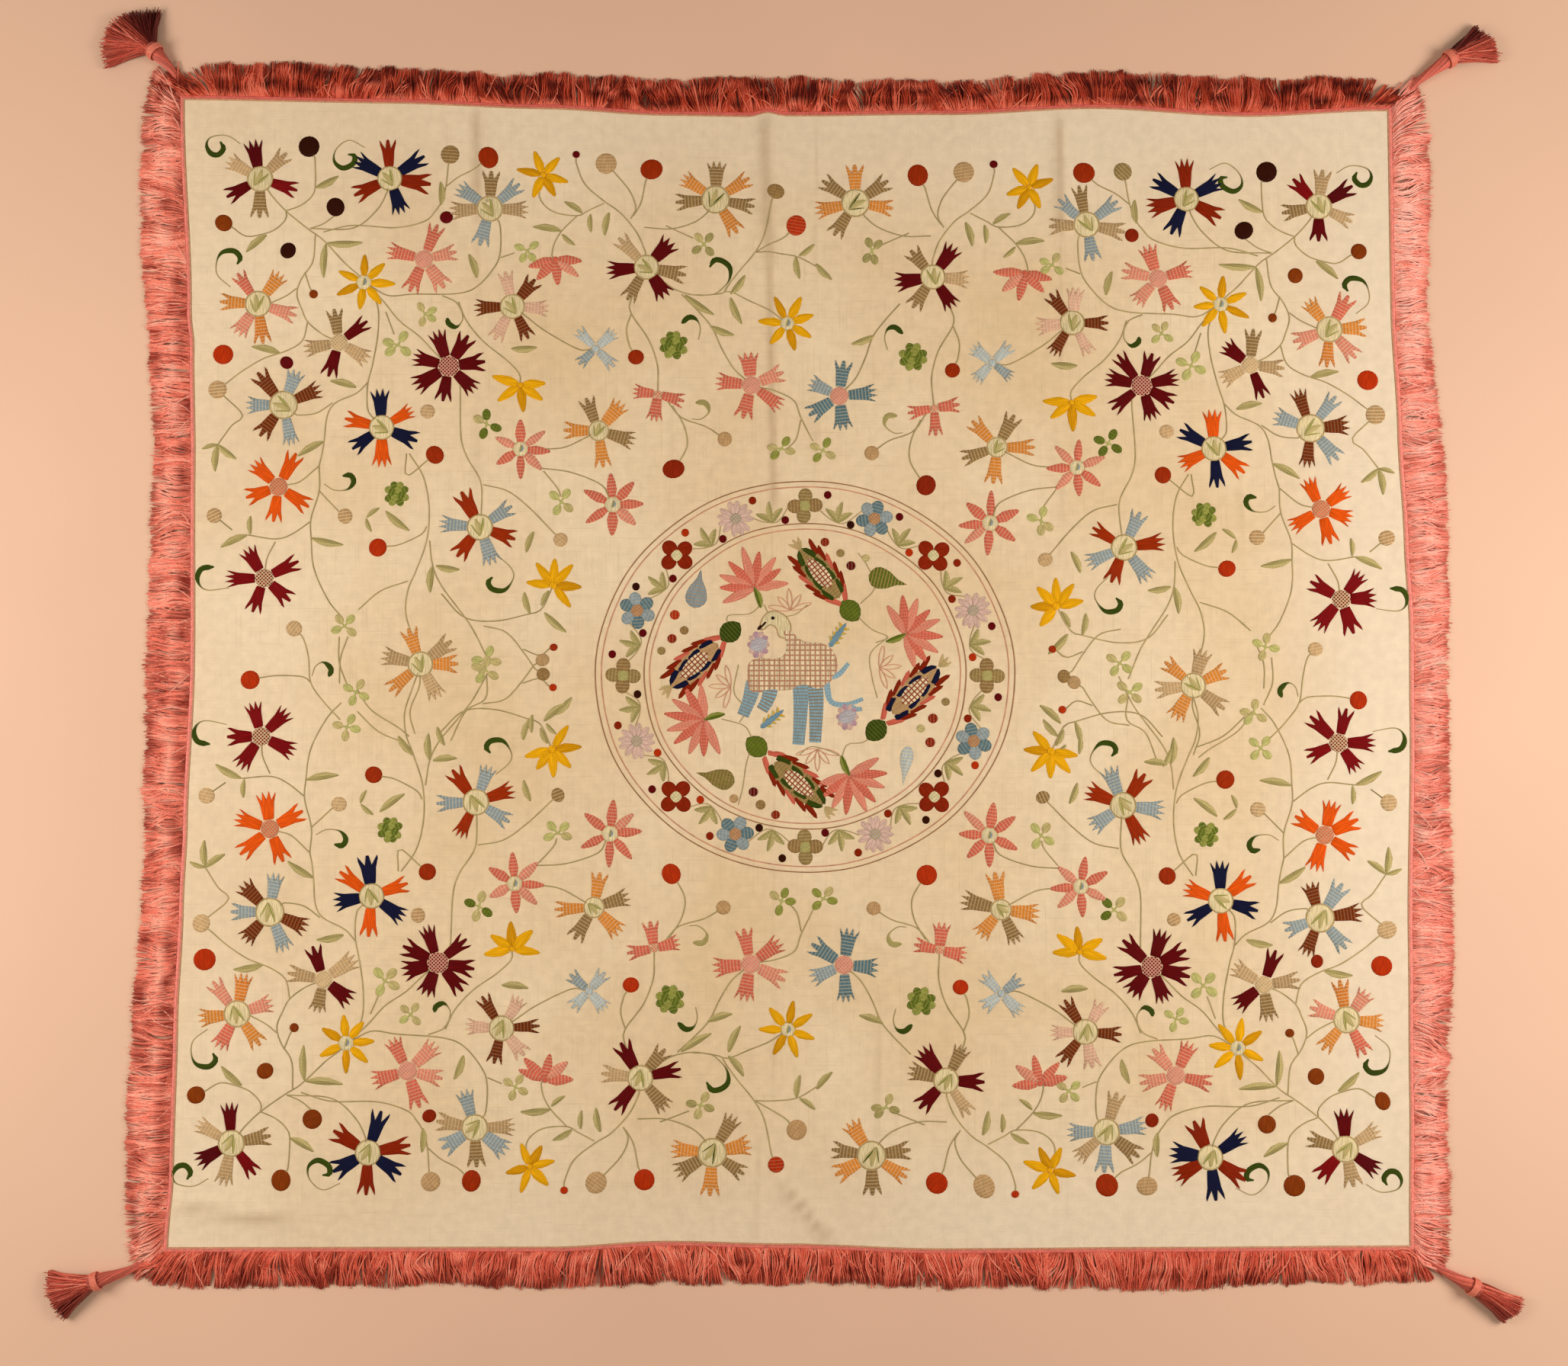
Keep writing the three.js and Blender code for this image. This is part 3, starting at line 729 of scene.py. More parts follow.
# Layout of the embroidery. The design is drawn once for the head-left quarter, in mm from the middle
# of the medallion, and worked four times in mirror image, each quarter a little askew.
quarters = [("headLeft", 1, 1), ("headRight", -1, 1), ("footLeft", 1, -1), ("footRight", -1, -1)]
designHalf = (981, 859)
# How far each quarter is moved, in mm: by the medallion, at its side, at its end and in its corner
bends = {
    "headLeft": [(35, 0), (31, 42), (-5, 1), (19, 54)], "headRight": [(50, -45), (31, 6), (-5, 1), (-14, 3)],
    "footLeft": [(35, 0), (34, 26), (-4, 14), (-7, 24)], "footRight": [(28, 4), (16, 14), (20, 10), (8, 14)],
}


def onCloth(points, quarter):
    # Design points of the head-left quarter, moved to their place in one of the quarters
    p = np.array(points, float) * np.array(quarter[1:])
    a, b = (np.clip(abs(p[..., k]) / designHalf[k], 0, 1.2)[..., None] for k in (0, 1))
    middle, side, end, corner = np.array(bends[quarter[0]], float)
    return p + middle * (1 - a) * (1 - b) + side * a * (1 - b) + end * (1 - a) * b + corner * a * b


def turnIn(angle, quarter):
    # Angle of the head-left quarter as it is in one of the quarters
    if quarter[1] < 0:
        angle = 180 - angle
    return -angle if quarter[2] < 0 else angle


def mirrored(quarter):
    return quarter[1] * quarter[2] < 0


# size is the radius of the heart, petals are [angle, thread], shape and reach give the stitch master and its
# scale, and in the quarters of swap the threads change places. Crowns round a leafy heart where not said.
flowers = [
    {"at": (-983, 856), "swap": ("headRight", "footLeft", "footRight"), "size": 23,
     "petals": [(102, "plum"), (47, "beige"), (-12, "crimson"), (-90, "drab"), (-149, "burgundy"),
                (147, "sand")]},
    {"at": (-740, 870), "swap": ("footRight",), "size": 22, "reach": 1.06,
     "petals": [(92, "brick"), (32, "navy"), (-12, "brick"), (-68, "navy"), (-148, "brick"), (150, "navy")]},
    {"at": (-553, 824), "swap": ("footRight",), "size": 23,
     "petals": [(85, "drab"), (38, "sky"), (-2, "beige"), (-105, "sky"), (-172, "beige"), (143, "sky")]},
    {"at": (-130, 864), "swap": ("headRight", "footLeft"), "darkLeaf": True, "size": 25,
     "petals": [(90, "drab"), (32, "orange"), (-10, "drab"), (-58, "orange"), (188, "drab"),
                (145, "orange")]},
    {"at": (-987, 628), "size": 23,
     "petals": [(118, "rose"), (52, "orange"), (-20, "pink"), (-80, "amber"), (-128, "pink"),
                (175, "orange")]},
    {"at": (-515, 647), "swap": ("footLeft",), "size": 22, "reach": 0.92,
     "petals": [(103, "blush"), (50, "rust"), (-5, "blush"), (-62, "rust"), (-120, "blush"), (180, "rust")]},
    {"at": (-264, 732), "swap": ("headRight", "footLeft"), "size": 22,
     "petals": [(130, "sand"), (50, "burgundy"), (-12, "drab"), (-55, "burgundy"), (-120, "drab"),
                (183, "burgundy")]},
    {"at": (-940, 447), "swap": ("headRight", "footRight"), "size": 25,
     "petals": [(70, "sky"), (22, "rust"), (-78, "sky"), (-130, "rust"), (180, "sky"), (130, "rust")]},
    {"at": (-760, 415), "swap": ("headRight", "footLeft", "footRight"), "size": 22,
     "petals": [(90, "navy"), (30, "orangeRed"), (-22, "navy"), (-90, "orangeRed"), (-142, "navy"),
                (168, "orangeRed")]},
    {"at": (-583, 243), "swap": ("headRight",), "size": 23,
     "petals": [(115, "red"), (35, "sky"), (-20, "red"), (-70, "sky"), (235, "red"), (178, "sky")]},
    {"at": (-362, 428), "size": 18,
     "petals": [(118, "drab"), (48, "orange"), (-18, "drab"), (-80, "orange"), (178, "orange")]},
    {"at": (-837, 565), "heart": "net", "size": 16, "net": ("sand", "cream"),
     "petals": [(100, "drab"), (38, "burgundy"), (-30, "sand"), (-108, "burgundy"), (190, "beige")]},
    {"at": (-635, 532), "heart": "net", "size": 19, "net": ("crimson", "blush"),
     "petals": [(108, "burgundy"), (52, "burgundy"), (10, "burgundy"), (-40, "burgundy"), (-105, "burgundy"),
                (207, "burgundy"), (165, "burgundy")]},
    {"at": (-949, 299), "heart": "net", "size": 17, "net": ("rose", "sand"),
     "petals": [(70, "orangeRed"), (-30, "orangeRed"), (-100, "orangeRed"), (200, "orangeRed"),
                (140, "orangeRed")]},
    {"at": (-975, 134), "heart": "net", "size": 17, "net": ("crimson", "cream"),
     "petals": [(125, "crimson"), (25, "crimson"), (-45, "crimson"), (-110, "crimson"), (180, "crimson")]},
    {"at": (-678, 725), "heart": "net", "size": 17, "net": ("pink", "blush"),
     "petals": [(70, "rose"), (12, "pink"), (-47, "pink"), (-113, "rose"), (165, "rose")]},
    {"at": (-78, 525), "heart": "net", "size": 17, "net": ("pink", "blush"), "blueRight": True,
     "petals": [(95, "rose"), (25, "pink"), (-35, "rose"), (-100, "rose"), (175, "rose")]},
    {"at": (-452, 892), "heart": "bare", "size": 5, "shape": "star",
     "petals": [(110, "gold"), (48, "gold"), (-20, "gold"), (-62, "honey"), (-115, "gold"), (165, "honey")]},
    {"at": (-790, 677), "heart": "small", "size": 14, "shape": "star",
     "petals": [(92, "honey"), (43, "gold"), (-3, "gold"), (-52, "gold"), (-97, "gold"), (-150, "honey"),
                (153, "gold")]},
    {"at": (-506, 388), "heart": "small", "size": 14, "shape": "star", "reach": 1.04,
     "petals": [(92, "rose"), (40, "pink"), (0, "rose"), (-45, "pink"), (-95, "rose"), (215, "rose"),
                (155, "pink")]},
    {"at": (-340, 295), "heart": "small", "size": 15, "shape": "star", "reach": 1.1,
     "petals": [(92, "rose"), (45, "rose"), (0, "rose"), (-42, "pink"), (-92, "rose"), (215, "rose"),
                (155, "rose")]},
    {"at": (-452, 144), "heart": "bare", "size": 7, "shape": "star", "reach": 1.08,
     "petals": [(170, "gold"), (130, "gold"), (88, "gold"), (45, "gold"), (-3, "honey"), (-52, "gold")]},
    {"at": (-504, 505), "heart": "bare", "size": 5, "shape": "star", "reach": 1.1,
     "petals": [(168, "gold"), (212, "gold"), (270, "honey"), (322, "gold"), (2, "gold")]},
    {"at": (-433, 738), "heart": "bare", "size": 5, "shape": "star", "reach": 1.15,
     "petals": [(195, "rose"), (228, "rose"), (280, "rose"), (322, "pink"), (358, "rose")]},
    {"at": (-363, 578), "heart": "bare", "size": 7, "reach": 0.8,
     "petals": [(135, "iceBlue"), (40, "iceBlue"), (-48, "iceBlue"), (222, "sky")]},
    {"at": (-251, 500), "heart": "net", "size": 7, "reach": 0.85, "net": ("rose", "cream"),
     "petals": [(170, "rose"), (-15, "rose"), (-95, "rose")]},
]
axisFlowers = [
    {"at": (-694, -8), "swap": ("headRight",), "size": 22,
     "petals": [(105, "orange"), (42, "beige"), (-5, "orange"), (-60, "sand"), (220, "orange"),
                (160, "beige")]},
    {"at": (-6, 642), "heart": "small", "size": 13, "shape": "star",
     "petals": [(65, "gold"), (20, "gold"), (-30, "gold"), (-78, "honey"), (230, "gold"), (180, "gold"),
                (120, "honey")]},
]
# Threads laid long and held by bars across them, which show in the light colours
barred = {"sky": 0.35, "iceBlue": 0.4, "beige": 0.35, "sand": 0.4, "drab": 0.3, "orange": 0.35, "amber": 0.35,
          "pink": 0.4, "rose": 0.3, "blush": 0.5, "rust": 0.1, "blue": 0.3}
petalJitter = {"turn": 3, "reach": 0.05, "width": 0.06, "forkedShare": 0.45}
blueTwins = {"rose": "blue", "pink": "sky"}  # threads of a blueRight flower in the right-hand quarters
# Leafy hearts: blades as [turn, thread or None for the flower's own green, width, length]
leafyHeart = {"spin": 110, "fullSize": 19, "bladeFoot": 0.74,
              "blades": ((106, "leafPale", 1.0, 0.8), (80, None, 0.55, 0.84), (128, None, 0.3, 0.66))}


def addHeart(layer, row, at, quarter):
    size, heart = row["size"], row.get("heart", "leafy")
    if heart == "leafy":
        stamp(layer, "disc", at, 90, ["heart"], (size, size, 0.5))
        stamp(layer, "ring", at, 90, ["heartEdge"], (size, size, 0.9))
        spin = leafyHeart["spin"] * (rng.random() - 0.5)
        foot = np.array(at) + turnVector(turnIn(-90 + spin, quarter), size * leafyHeart["bladeFoot"])
        for turn, tint, width, length in leafyHeart["blades"]:
            tints = [tint or ("forest" if row.get("darkLeaf") else "fern"), "leafPale"]
            stamp(layer, "leaf", foot, turnIn(turn + spin, quarter), tints,
                  (width, length * size / leafyHeart["fullSize"], 0.8), mirrored(quarter), lift=0.6)
    elif heart == "net":
        ground, knots = row["net"]
        stamp(layer, "disc", at, 45, [ground], (size, size, 0.8), net=0.9, second=knots)
    elif heart == "small":
        stamp(layer, "disc", at, 90, ["heart"], (size, size * 0.95, 0.7), bars=0.2, second="iceBlue")
        stamp(layer, "ring", at, 90, ["leafPale"], (size, size, 0.6))
        stamp(layer, "leaf", np.array(at) - (1, 6), 80, ["leaf", "sky"], (0.7, 0.4, 0.9), lift=0.8)
    else:
        stamp(layer, "disc", at, 90, [row["petals"][0][1]], (size, size, 0.9))


def addFlower(layer, row, quarter):
    at = onCloth(row["at"], quarter)
    scale, shape = row.get("reach", 1.0), row.get("shape", "crown")
    start = row["size"] * (0.96 if shape == "crown" else 0.8)
    names = [name for _, name in row["petals"]]
    if quarter[0] in row.get("swap", ()):
        names = names[1:] + names[:1]
    if row.get("blueRight") and quarter[1] < 0:
        names = [blueTwins.get(name, name) for name in names]
    for (angle, _), tint in zip(row["petals"], names):
        turn = turnIn(angle, quarter) + petalJitter["turn"] * rng.normal()
        reach = scale * (1 + petalJitter["reach"] * rng.normal())
        width = scale * (1 + petalJitter["width"] * rng.normal())
        forked = shape == "crown" and rng.random() < petalJitter["forkedShare"]
        foot = at + turnVector(turn, start)
        stamp(layer, "forked" if forked else shape, foot, turn, [tint], (width, reach, 1), rng.random() < 0.5,
              bars=barred.get(tint, 0))
    addHeart(layer, row, at, quarter)


# Round berries: place, radius, thread at the head, thread at the foot, and the strength of their bars
berries = [
    (-891, 920, 19, "umber", "sienna", 0), (-842, 812, 17, "umber", "sienna", 0),
    (-1051, 772, 16, "sienna", "sienna", 0), (-931, 728, 15, "umber", "sienna", 0),
    (-884, 651, 8, "sienna", "sienna", 0), (-1051, 533, 19, "scarlet", "scarlet", 0),
    (-934, 524, 12, "burgundy", "brick", 0), (-1061, 469, 17, "tan", "sand", 0.6),
    (-626, 920, 17, "drab", "tan", 0.3), (-554, 918, 20, "red", "red", 0),
    (-635, 804, 12, "burgundy", "brick", 0), (-389, 933, 7, "burgundy", "scarlet", 0),
    (-333, 919, 20, "tan", "tan", 0.35), (-248, 913, 20, "red", "scarlet", 0),
    (-289, 566, 14, "red", "scarlet", 0), (-131, 424, 13, "tan", "tan", 0.1),
    (-227, 365, 18, "brick", "scarlet", 0), (-675, 448, 13, "sand", "tan", 0.5),
    (-663, 370, 16, "red", "red", 0), (-769, 198, 17, "scarlet", "red", 0),
    (-828, 252, 14, "tan", "sand", 0.6), (-1066, 242, 15, "tan", "sand", 0.6),
    (-475, 9, 12, "beige", "drab", 0.1), (-455, -40, 7, "scarlet", "red", 0),
    (-437, 227, 13, "sand", "drab", 0.4),
]
# Berries of one quarter that have another thread there, or none: by quarter and x
oddBerries = {
    ("headRight", -931): "sienna", ("headRight", -635): "brick", ("headRight", -626): "olive",
    ("headRight", -934): None, ("footLeft", -934): None,
}
leftBerries = [(-16, 884, 15, "drab", "scarlet", 0.1), (18, 822, 19, "scarlet", "tan", 0.1)]
axisBerries = [(-921, 46, 14, "sand", "sand", 0.5), (-999, -50, 17, "scarlet", "scarlet", 0)]
# Small four-lobed sprigs: place, size, thread
sprigs = [
    (-678, 625, 22, "mint"), (-728, 566, 27, "mint"), (-485, 751, 23, "mint"), (-567, 430, 26, "moss"),
    (-155, 779, 24, "leaf"), (-434, 296, 25, "mint"), (-577, -14, 25, "mint"),
]
axisSprigs = [(-830, 54, 24, "mint"), (-808, -64, 24, "mint"), (-823, -128, 24, "mint")]
leftSprigs = [(-28, 411, 24, "fern"), (47, 407, 24, "fern")]
tufts = [(-218, 591, 27, "fern"), (-734, 296, 24, "fern")]

# Curled leaves, from the thin tail to the thick head
curls = [
    [(-1020, 918), (-1040, 930), (-1058, 932), (-1078, 926), (-1084, 912), (-1076, 898), (-1062, 896),
     (-1052, 908), (-1058, 920)],
    [(-786, 924), (-816, 936), (-840, 918), (-844, 896), (-828, 884), (-808, 894), (-806, 908), (-818, 910)],
    [(-1038, 656), (-1062, 676), (-1064, 700), (-1054, 718), (-1032, 722), (-1020, 710), (-1026, 698)],
    [(-610, 636), (-608, 618), (-620, 604), (-634, 610), (-636, 620)],
    [(-172, 604), (-168, 624), (-174, 640), (-188, 644), (-202, 632)],
    [(-866, 308), (-848, 298), (-824, 300), (-812, 314), (-818, 326), (-832, 324)],
    [(-1038, 114), (-1074, 108), (-1090, 114), (-1096, 130), (-1088, 146), (-1066, 150)],
    [(-550, 192), (-528, 172), (-524, 154), (-540, 132), (-562, 132), (-570, 144), (-562, 154)],
]
leftCurls = [[(-174, 686), (-142, 688), (-122, 702), (-110, 718), (-108, 738), (-120, 750), (-136, 752),
              (-146, 738)]]
paleCurls = [[(-190, 458), (-174, 458), (-158, 472), (-164, 488), (-182, 488)]]
axisCurls = [[(-888, -38), (-882, -20), (-868, -12), (-854, -24), (-858, -38)]]

# Stems, each from its start to its end
stems = [
    [(-960, 825), (-935, 800), (-895, 770), (-865, 750), (-825, 710), (-800, 690)],
    [(-880, 900), (-880, 845), (-890, 825), (-910, 810), (-935, 800)],
    [(-1035, 765), (-1010, 750), (-980, 755), (-955, 765), (-935, 785), (-935, 800)],
    [(-845, 795), (-865, 780), (-890, 770)],
    [(-745, 845), (-765, 810), (-810, 775), (-890, 770)],
    [(-865, 765), (-810, 780), (-730, 780), (-675, 795), (-655, 815), (-645, 830), (-635, 860), (-630, 900)],
    [(-635, 860), (-610, 880), (-580, 895)],
    [(-880, 760), (-885, 710), (-905, 680), (-915, 650), (-905, 620), (-895, 600), (-870, 580)],
    [(-900, 690), (-890, 660)],
    [(-965, 630), (-935, 645), (-915, 660)],
    [(-895, 600), (-905, 565), (-935, 545), (-975, 530), (-1015, 505), (-1040, 485)],
    [(-765, 635), (-765, 585), (-775, 530), (-785, 490), (-785, 445)],
    [(-785, 495), (-805, 475), (-845, 455), (-860, 430), (-865, 390), (-870, 360), (-875, 340)],
    [(-915, 430), (-880, 435), (-850, 455)],
    [(-755, 645), (-725, 610), (-690, 585), (-665, 560)],
    [(-750, 625), (-735, 585)],
    [(-745, 655), (-700, 660), (-620, 665), (-580, 680), (-545, 720), (-535, 750), (-535, 795)],
    [(-535, 735), (-510, 745)],
    [(-645, 660), (-620, 650), (-610, 635)],
    [(-615, 650), (-600, 615), (-570, 580), (-530, 550), (-505, 525)],
    [(-490, 630), (-455, 605), (-395, 575)],
    [(-1060, 370), (-1035, 405), (-1015, 425)],
    [(-390, 920), (-375, 880), (-340, 850), (-310, 830), (-280, 795), (-265, 760)],
    [(-315, 900), (-290, 870), (-280, 840), (-290, 820)],
    [(-260, 890), (-270, 850), (-285, 825)],
    [(-265, 805), (-215, 805), (-170, 820), (-145, 840)],
    [(-225, 810), (-175, 790)],
    [(-460, 850), (-435, 825), (-390, 820), (-370, 830), (-340, 845)],
    [(-440, 740), (-435, 765), (-420, 790), (-390, 820)],
    [(-200, 685), (-165, 650), (-145, 625), (-130, 590), (-110, 555)],
    [(-295, 670), (-295, 645), (-265, 600), (-250, 555), (-250, 520)],
    [(-295, 645), (-305, 615), (-300, 585)],
    [(-235, 490), (-210, 460), (-165, 445), (-140, 430)],
    [(-225, 480), (-205, 445), (-200, 410), (-215, 380)],
    [(-465, 390), (-425, 395), (-385, 415)],
    [(-875, 340), (-875, 295), (-890, 245), (-890, 210), (-885, 155), (-860, 100), (-835, 70)],
    [(-840, 35), (-840, -10), (-825, -50)],
    [(-875, 340), (-910, 310)],
    [(-875, 295), (-850, 270), (-840, 260)],
    [(-890, 240), (-925, 215), (-955, 205), (-1005, 210)],
    [(-955, 200), (-970, 170)],
    [(-1030, 215), (-1050, 230)],
    [(-715, 370), (-715, 330)],
    [(-710, 370), (-685, 330), (-675, 275), (-680, 215), (-700, 160), (-715, 125), (-720, 85), (-710, 45)],
    [(-730, 205), (-690, 225), (-680, 240)],
    [(-805, 85), (-765, 120), (-715, 140)],
    [(-675, 215), (-670, 170), (-655, 135), (-625, 95), (-600, 60), (-575, 10)],
    [(-655, 120), (-615, 80), (-560, 75), (-500, 90), (-475, 100)],
    [(-615, 505), (-615, 410), (-605, 370), (-580, 325), (-580, 270)],
    [(-575, 320), (-530, 310), (-490, 280), (-455, 245)],
    [(-470, 355), (-415, 350), (-360, 330)],
    [(-465, 350), (-440, 320), (-435, 305)],
    [(-490, 0), (-510, -30), (-540, -65), (-580, -75)],
    [(-510, -35), (-480, -25), (-460, -40)],
]
leftStems = [
    [(-25, 865), (-40, 805), (-60, 770), (-90, 735), (-110, 710), (-120, 695)],
    [(-5, 800), (-40, 780), (-60, 770)],
    [(-60, 770), (-30, 770), (15, 765), (50, 745)],
    [(-215, 695), (-175, 685), (-130, 690), (-110, 695), (-75, 680), (-40, 665)],
    [(-30, 515), (0, 500), (10, 470), (30, 425)],
    [(10, 465), (0, 430), (-20, 410)],
]
axisStems = [
    [(-920, 45), (-905, 30), (-895, -5), (-890, -50), (-865, -85), (-835, -115)],
    [(-980, -45), (-950, -40), (-905, -40), (-890, -50)],
    [(-575, -20), (-575, -65), (-610, -90), (-635, -145)],
    [(-695, -50), (-710, -95), (-700, -135)],
    [(-805, -60), (-780, -95), (-730, -125), (-710, -140)],
]
# Leaves, from the stem to the tip
leaves = [
    [(-880, 845), (-835, 870)], [(-970, 755), (-1010, 720)], [(-860, 745), (-865, 680)],
    [(-860, 745), (-790, 750)], [(-645, 825), (-645, 870)], [(-580, 695), (-595, 740)],
    [(-945, 540), (-1000, 550)], [(-805, 485), (-855, 495)], [(-865, 385), (-915, 355)],
    [(-520, 570), (-470, 575)], [(-420, 790), (-475, 795)], [(-420, 785), (-395, 765)],
    [(-380, 825), (-415, 845)], [(-1060, 370), (-1090, 360)], [(-1060, 370), (-1065, 320)],
    [(-1060, 370), (-1025, 345)], [(-365, 825), (-365, 790)], [(-330, 830), (-340, 785)],
    [(-150, 630), (-105, 615)],
    [(-1000, 245), (-1000, 210)], [(-1005, 210), (-1055, 185)], [(-890, 210), (-830, 200)],
    [(-765, 270), (-790, 250)], [(-790, 250), (-780, 225)], [(-755, 265), (-710, 230)],
    [(-670, 170), (-675, 120)], [(-665, 170), (-620, 165)], [(-485, 240), (-500, 200)],
    [(-505, 130), (-495, 90)], [(-460, 135), (-475, 105)], [(-470, 95), (-430, 60)],
]
leftLeaves = [
    [(-195, 685), (-140, 650)], [(-110, 690), (-80, 728)], [(-110, 685), (-90, 635)],
    [(20, 765), (50, 787)], [(15, 765), (20, 722)], [(50, 750), (78, 718)],
]
axisLeaves = [
    [(-450, -90), (-420, -55)], [(-490, -90), (-490, -125)], [(-465, -105), (-445, -125)],
    [(-730, -140), (-700, -175)], [(-660, -120), (-645, -155)],
]
# curlHalf and curlTone: half width, and share of the dark thread, from the tail to the head
lines = {
    "stemHalf": 1.35, "stemRise": 0.9, "stemStep": 9, "branchReach": 13, "longestGap": 50, "curlStep": 5,
    "curlRise": 1.6, "curlHalf": [[0, 0.9], [0.42, 1.3], [0.72, 5.4], [0.9, 5.4], [1, 1.8]],
    "curlTone": [[0, 0], [0.35, 0], [0.55, 1], [1, 1]],
}
vineTracks = [smoothPath(points, 6) for points in stems + leftStems + axisStems]
stemTargets = [row[:3] for row in berries + leftBerries + axisBerries]
stemTargets += [(*row["at"], row["size"]) for row in flowers + axisFlowers]


def ledOn(points):
    # A stem whose loose ends run on to the berry or flower beside them; ends on another stem stay
    led = [np.array(point, float) for point in points]
    for end in (led[0], led[-1]):
        near = [np.hypot(*(track - end).T).min() for track in vineTracks]
        if sorted(near)[1] < lines["branchReach"]:
            continue
        gap, x, y, radius = min((math.hypot(x - end[0], y - end[1]) - r, x, y, r) for x, y, r in stemTargets)
        if 1 < gap < lines["longestGap"]:
            onward = np.array([x, y]) + (end - (x, y)) * 0.85 * radius / (gap + radius)
            led.insert(0 if end is led[0] else len(led), onward)
    return led


stems, leftStems, axisStems = ([ledOn(points) for points in rows] for rows in (stems, leftStems, axisStems))


def addStem(layer, points, quarter):
    path = smoothPath(onCloth(points, quarter), lines["stemStep"])
    sweep(layer, path, lines["stemHalf"], lines["stemRise"], shade("stem", 0.1), "leafPale", 0.15)


def addLeaf(layer, ends, quarter):
    start, end = onCloth(ends, quarter)
    reach = end - start
    length = float(np.hypot(*reach))
    turn = math.degrees(math.atan2(reach[1], reach[0]))
    width = np.clip(length / 42, 0.7, 1.15)
    stamp(layer, "leaf", start, turn, ["leaf", "leafPale"], (width, length / leaf["length"], 1),
          mirrored(quarter), bars=0.12, second="drab")


def addCurl(layer, points, quarter, tint="forest"):
    path = smoothPath(onCloth(points, quarter), lines["curlStep"])
    t = np.linspace(0, 1, len(path))
    head = readTable(lines["curlTone"], t)[:, None]
    tone = thread["stem"] + (shade(tint, 0.1) - thread["stem"]) * head
    sweep(layer, path, readTable(lines["curlHalf"], t), lines["curlRise"], tone)


def addPaleCurl(layer, points, quarter):
    addCurl(layer, points, quarter, "leaf")


def addBerry(layer, row, quarter):
    x, y, radius, head, foot, bars = row
    head = oddBerries.get((quarter[0], x), head)
    if head is None:
        return
    at = onCloth((x, y), quarter)
    squash = 1 + 0.05 * rng.normal(size=2)
    stamp(layer, "disc", at, 90 + 25 * rng.normal(), [head if quarter[2] > 0 else foot],
          (radius * squash[0], radius * squash[1], 1), bars=bars, second="cream")


def addSprig(layer, row, quarter):
    # Four small round leaves on a star of stems
    x, y, size, tint = row
    at = onCloth((x, y), quarter)
    first = 40 + 30 * rng.random()
    for k in range(4):
        turn = first + 90 * k + 12 * rng.normal()
        spot = at + turnVector(turn, size * 0.68)
        name = tint if rng.random() < 0.6 else "leafPale"
        stamp(layer, "disc", spot, turn, [name], (size * 0.3, size * 0.42, 0.6), bars=0.15, second="leaf")
        sweep(layer, np.array([at, at + turnVector(turn, size * 0.25), at + turnVector(turn, size * 0.45)]),
              [2.2, 1.8, 1.1], 0.9, shade("mint"))


def addTuft(layer, row, quarter):
    # Dense green leaf rosette of short lobes
    x, y, size, tint = row
    at = onCloth((x, y), quarter)
    for ring, (count, reach, width) in enumerate(((8, 0.62, 0.3), (4, 0.32, 0.3))):
        for k in range(count):
            turn = 360 * (k + 0.5 * ring) / count + 22 + 5 * rng.normal()
            name = tint if (k + ring) % 2 else "moss"
            stamp(layer, "disc", at + turnVector(turn, size * reach), turn, [name],
                  (size * width, size * (width + 0.08), 0.7 + 0.3 * ring), bars=0.25, second="mint")


# Rows of the quarter, of the level middle line and of the upright one, and the quarters they are worked in
designs = [
    (quarters, flowers, berries, stems, leaves, sprigs, curls, tufts, paleCurls),
    (quarters[:2], axisFlowers[:1], axisBerries, axisStems, axisLeaves, axisSprigs, axisCurls, [], []),
    (quarters[::2], axisFlowers[1:], leftBerries, leftStems, leftLeaves, leftSprigs, leftCurls, [], []),
]


def workDesigns():
    petals, discs, vines = (newLayer("embroidered_" + name) for name in ("flowers", "berries", "vines"))
    steps = ((petals, addFlower), (discs, addBerry), (vines, addStem), (vines, addLeaf), (vines, addSprig),
             (vines, addCurl), (vines, addTuft), (vines, addPaleCurl))
    for places, *tables in designs:
        for quarter in places:
            for (layer, addRow), rows in zip(steps, tables):
                for row in rows:
                    addRow(layer, row, quarter)
    return petals, discs, vines


def finishLayer(layer):
    join = {key: np.concatenate(rows) for key, rows in layer.items() if isinstance(rows, list)}
    obj = meshFromArrays(layer["name"], join["points"], join["corners"], join["sizes"])
    uv = obj.data.uv_layers.new(name="stitch")
    uv.uv.foreach_set("vector", join["uv"].ravel())
    for key in ("thread", "second", "pattern"):
        addColour(obj.data, key, join[key], "CORNER")
    finishPiece(obj, silk, 60)
    return obj


embroidery = [finishLayer(layer) for layer in workDesigns()]

# Medallion: two double rings, a garland of sixteen flowers between them, and a beast in the middle
medallion = {
    "at": (31, 1), "rings": [(378, 353), (367, 343), (290, 276), (280, 266)], "ringStep": 2.4,
    "ringHalf": 1.2,
    "wobble": 0.6, "garland": (328, 308), "garlandCount": 16, "leafFoot": -25,
    "leaves": ((52, 0.95), (-2, 1.1), (-46, 0.9)), "berrySpots": ((0.3, 22), (0.7, -24)),
    "berryTints": ("umber", "brick", "scarlet", "burgundy"),
    "arc": ((0.22, -8), (0.4, -22), (0.6, -24), (0.8, 6)),
}


def fromMiddle(x, y):
    return np.array(medallion["at"], float) + (x, y)


def medalPoint(angle, radii):
    return fromMiddle(*(turnVector(angle, 1) * radii))


def garlandPoint(angle, out=0):
    return medalPoint(angle, [radius + out for radius in medallion["garland"]])


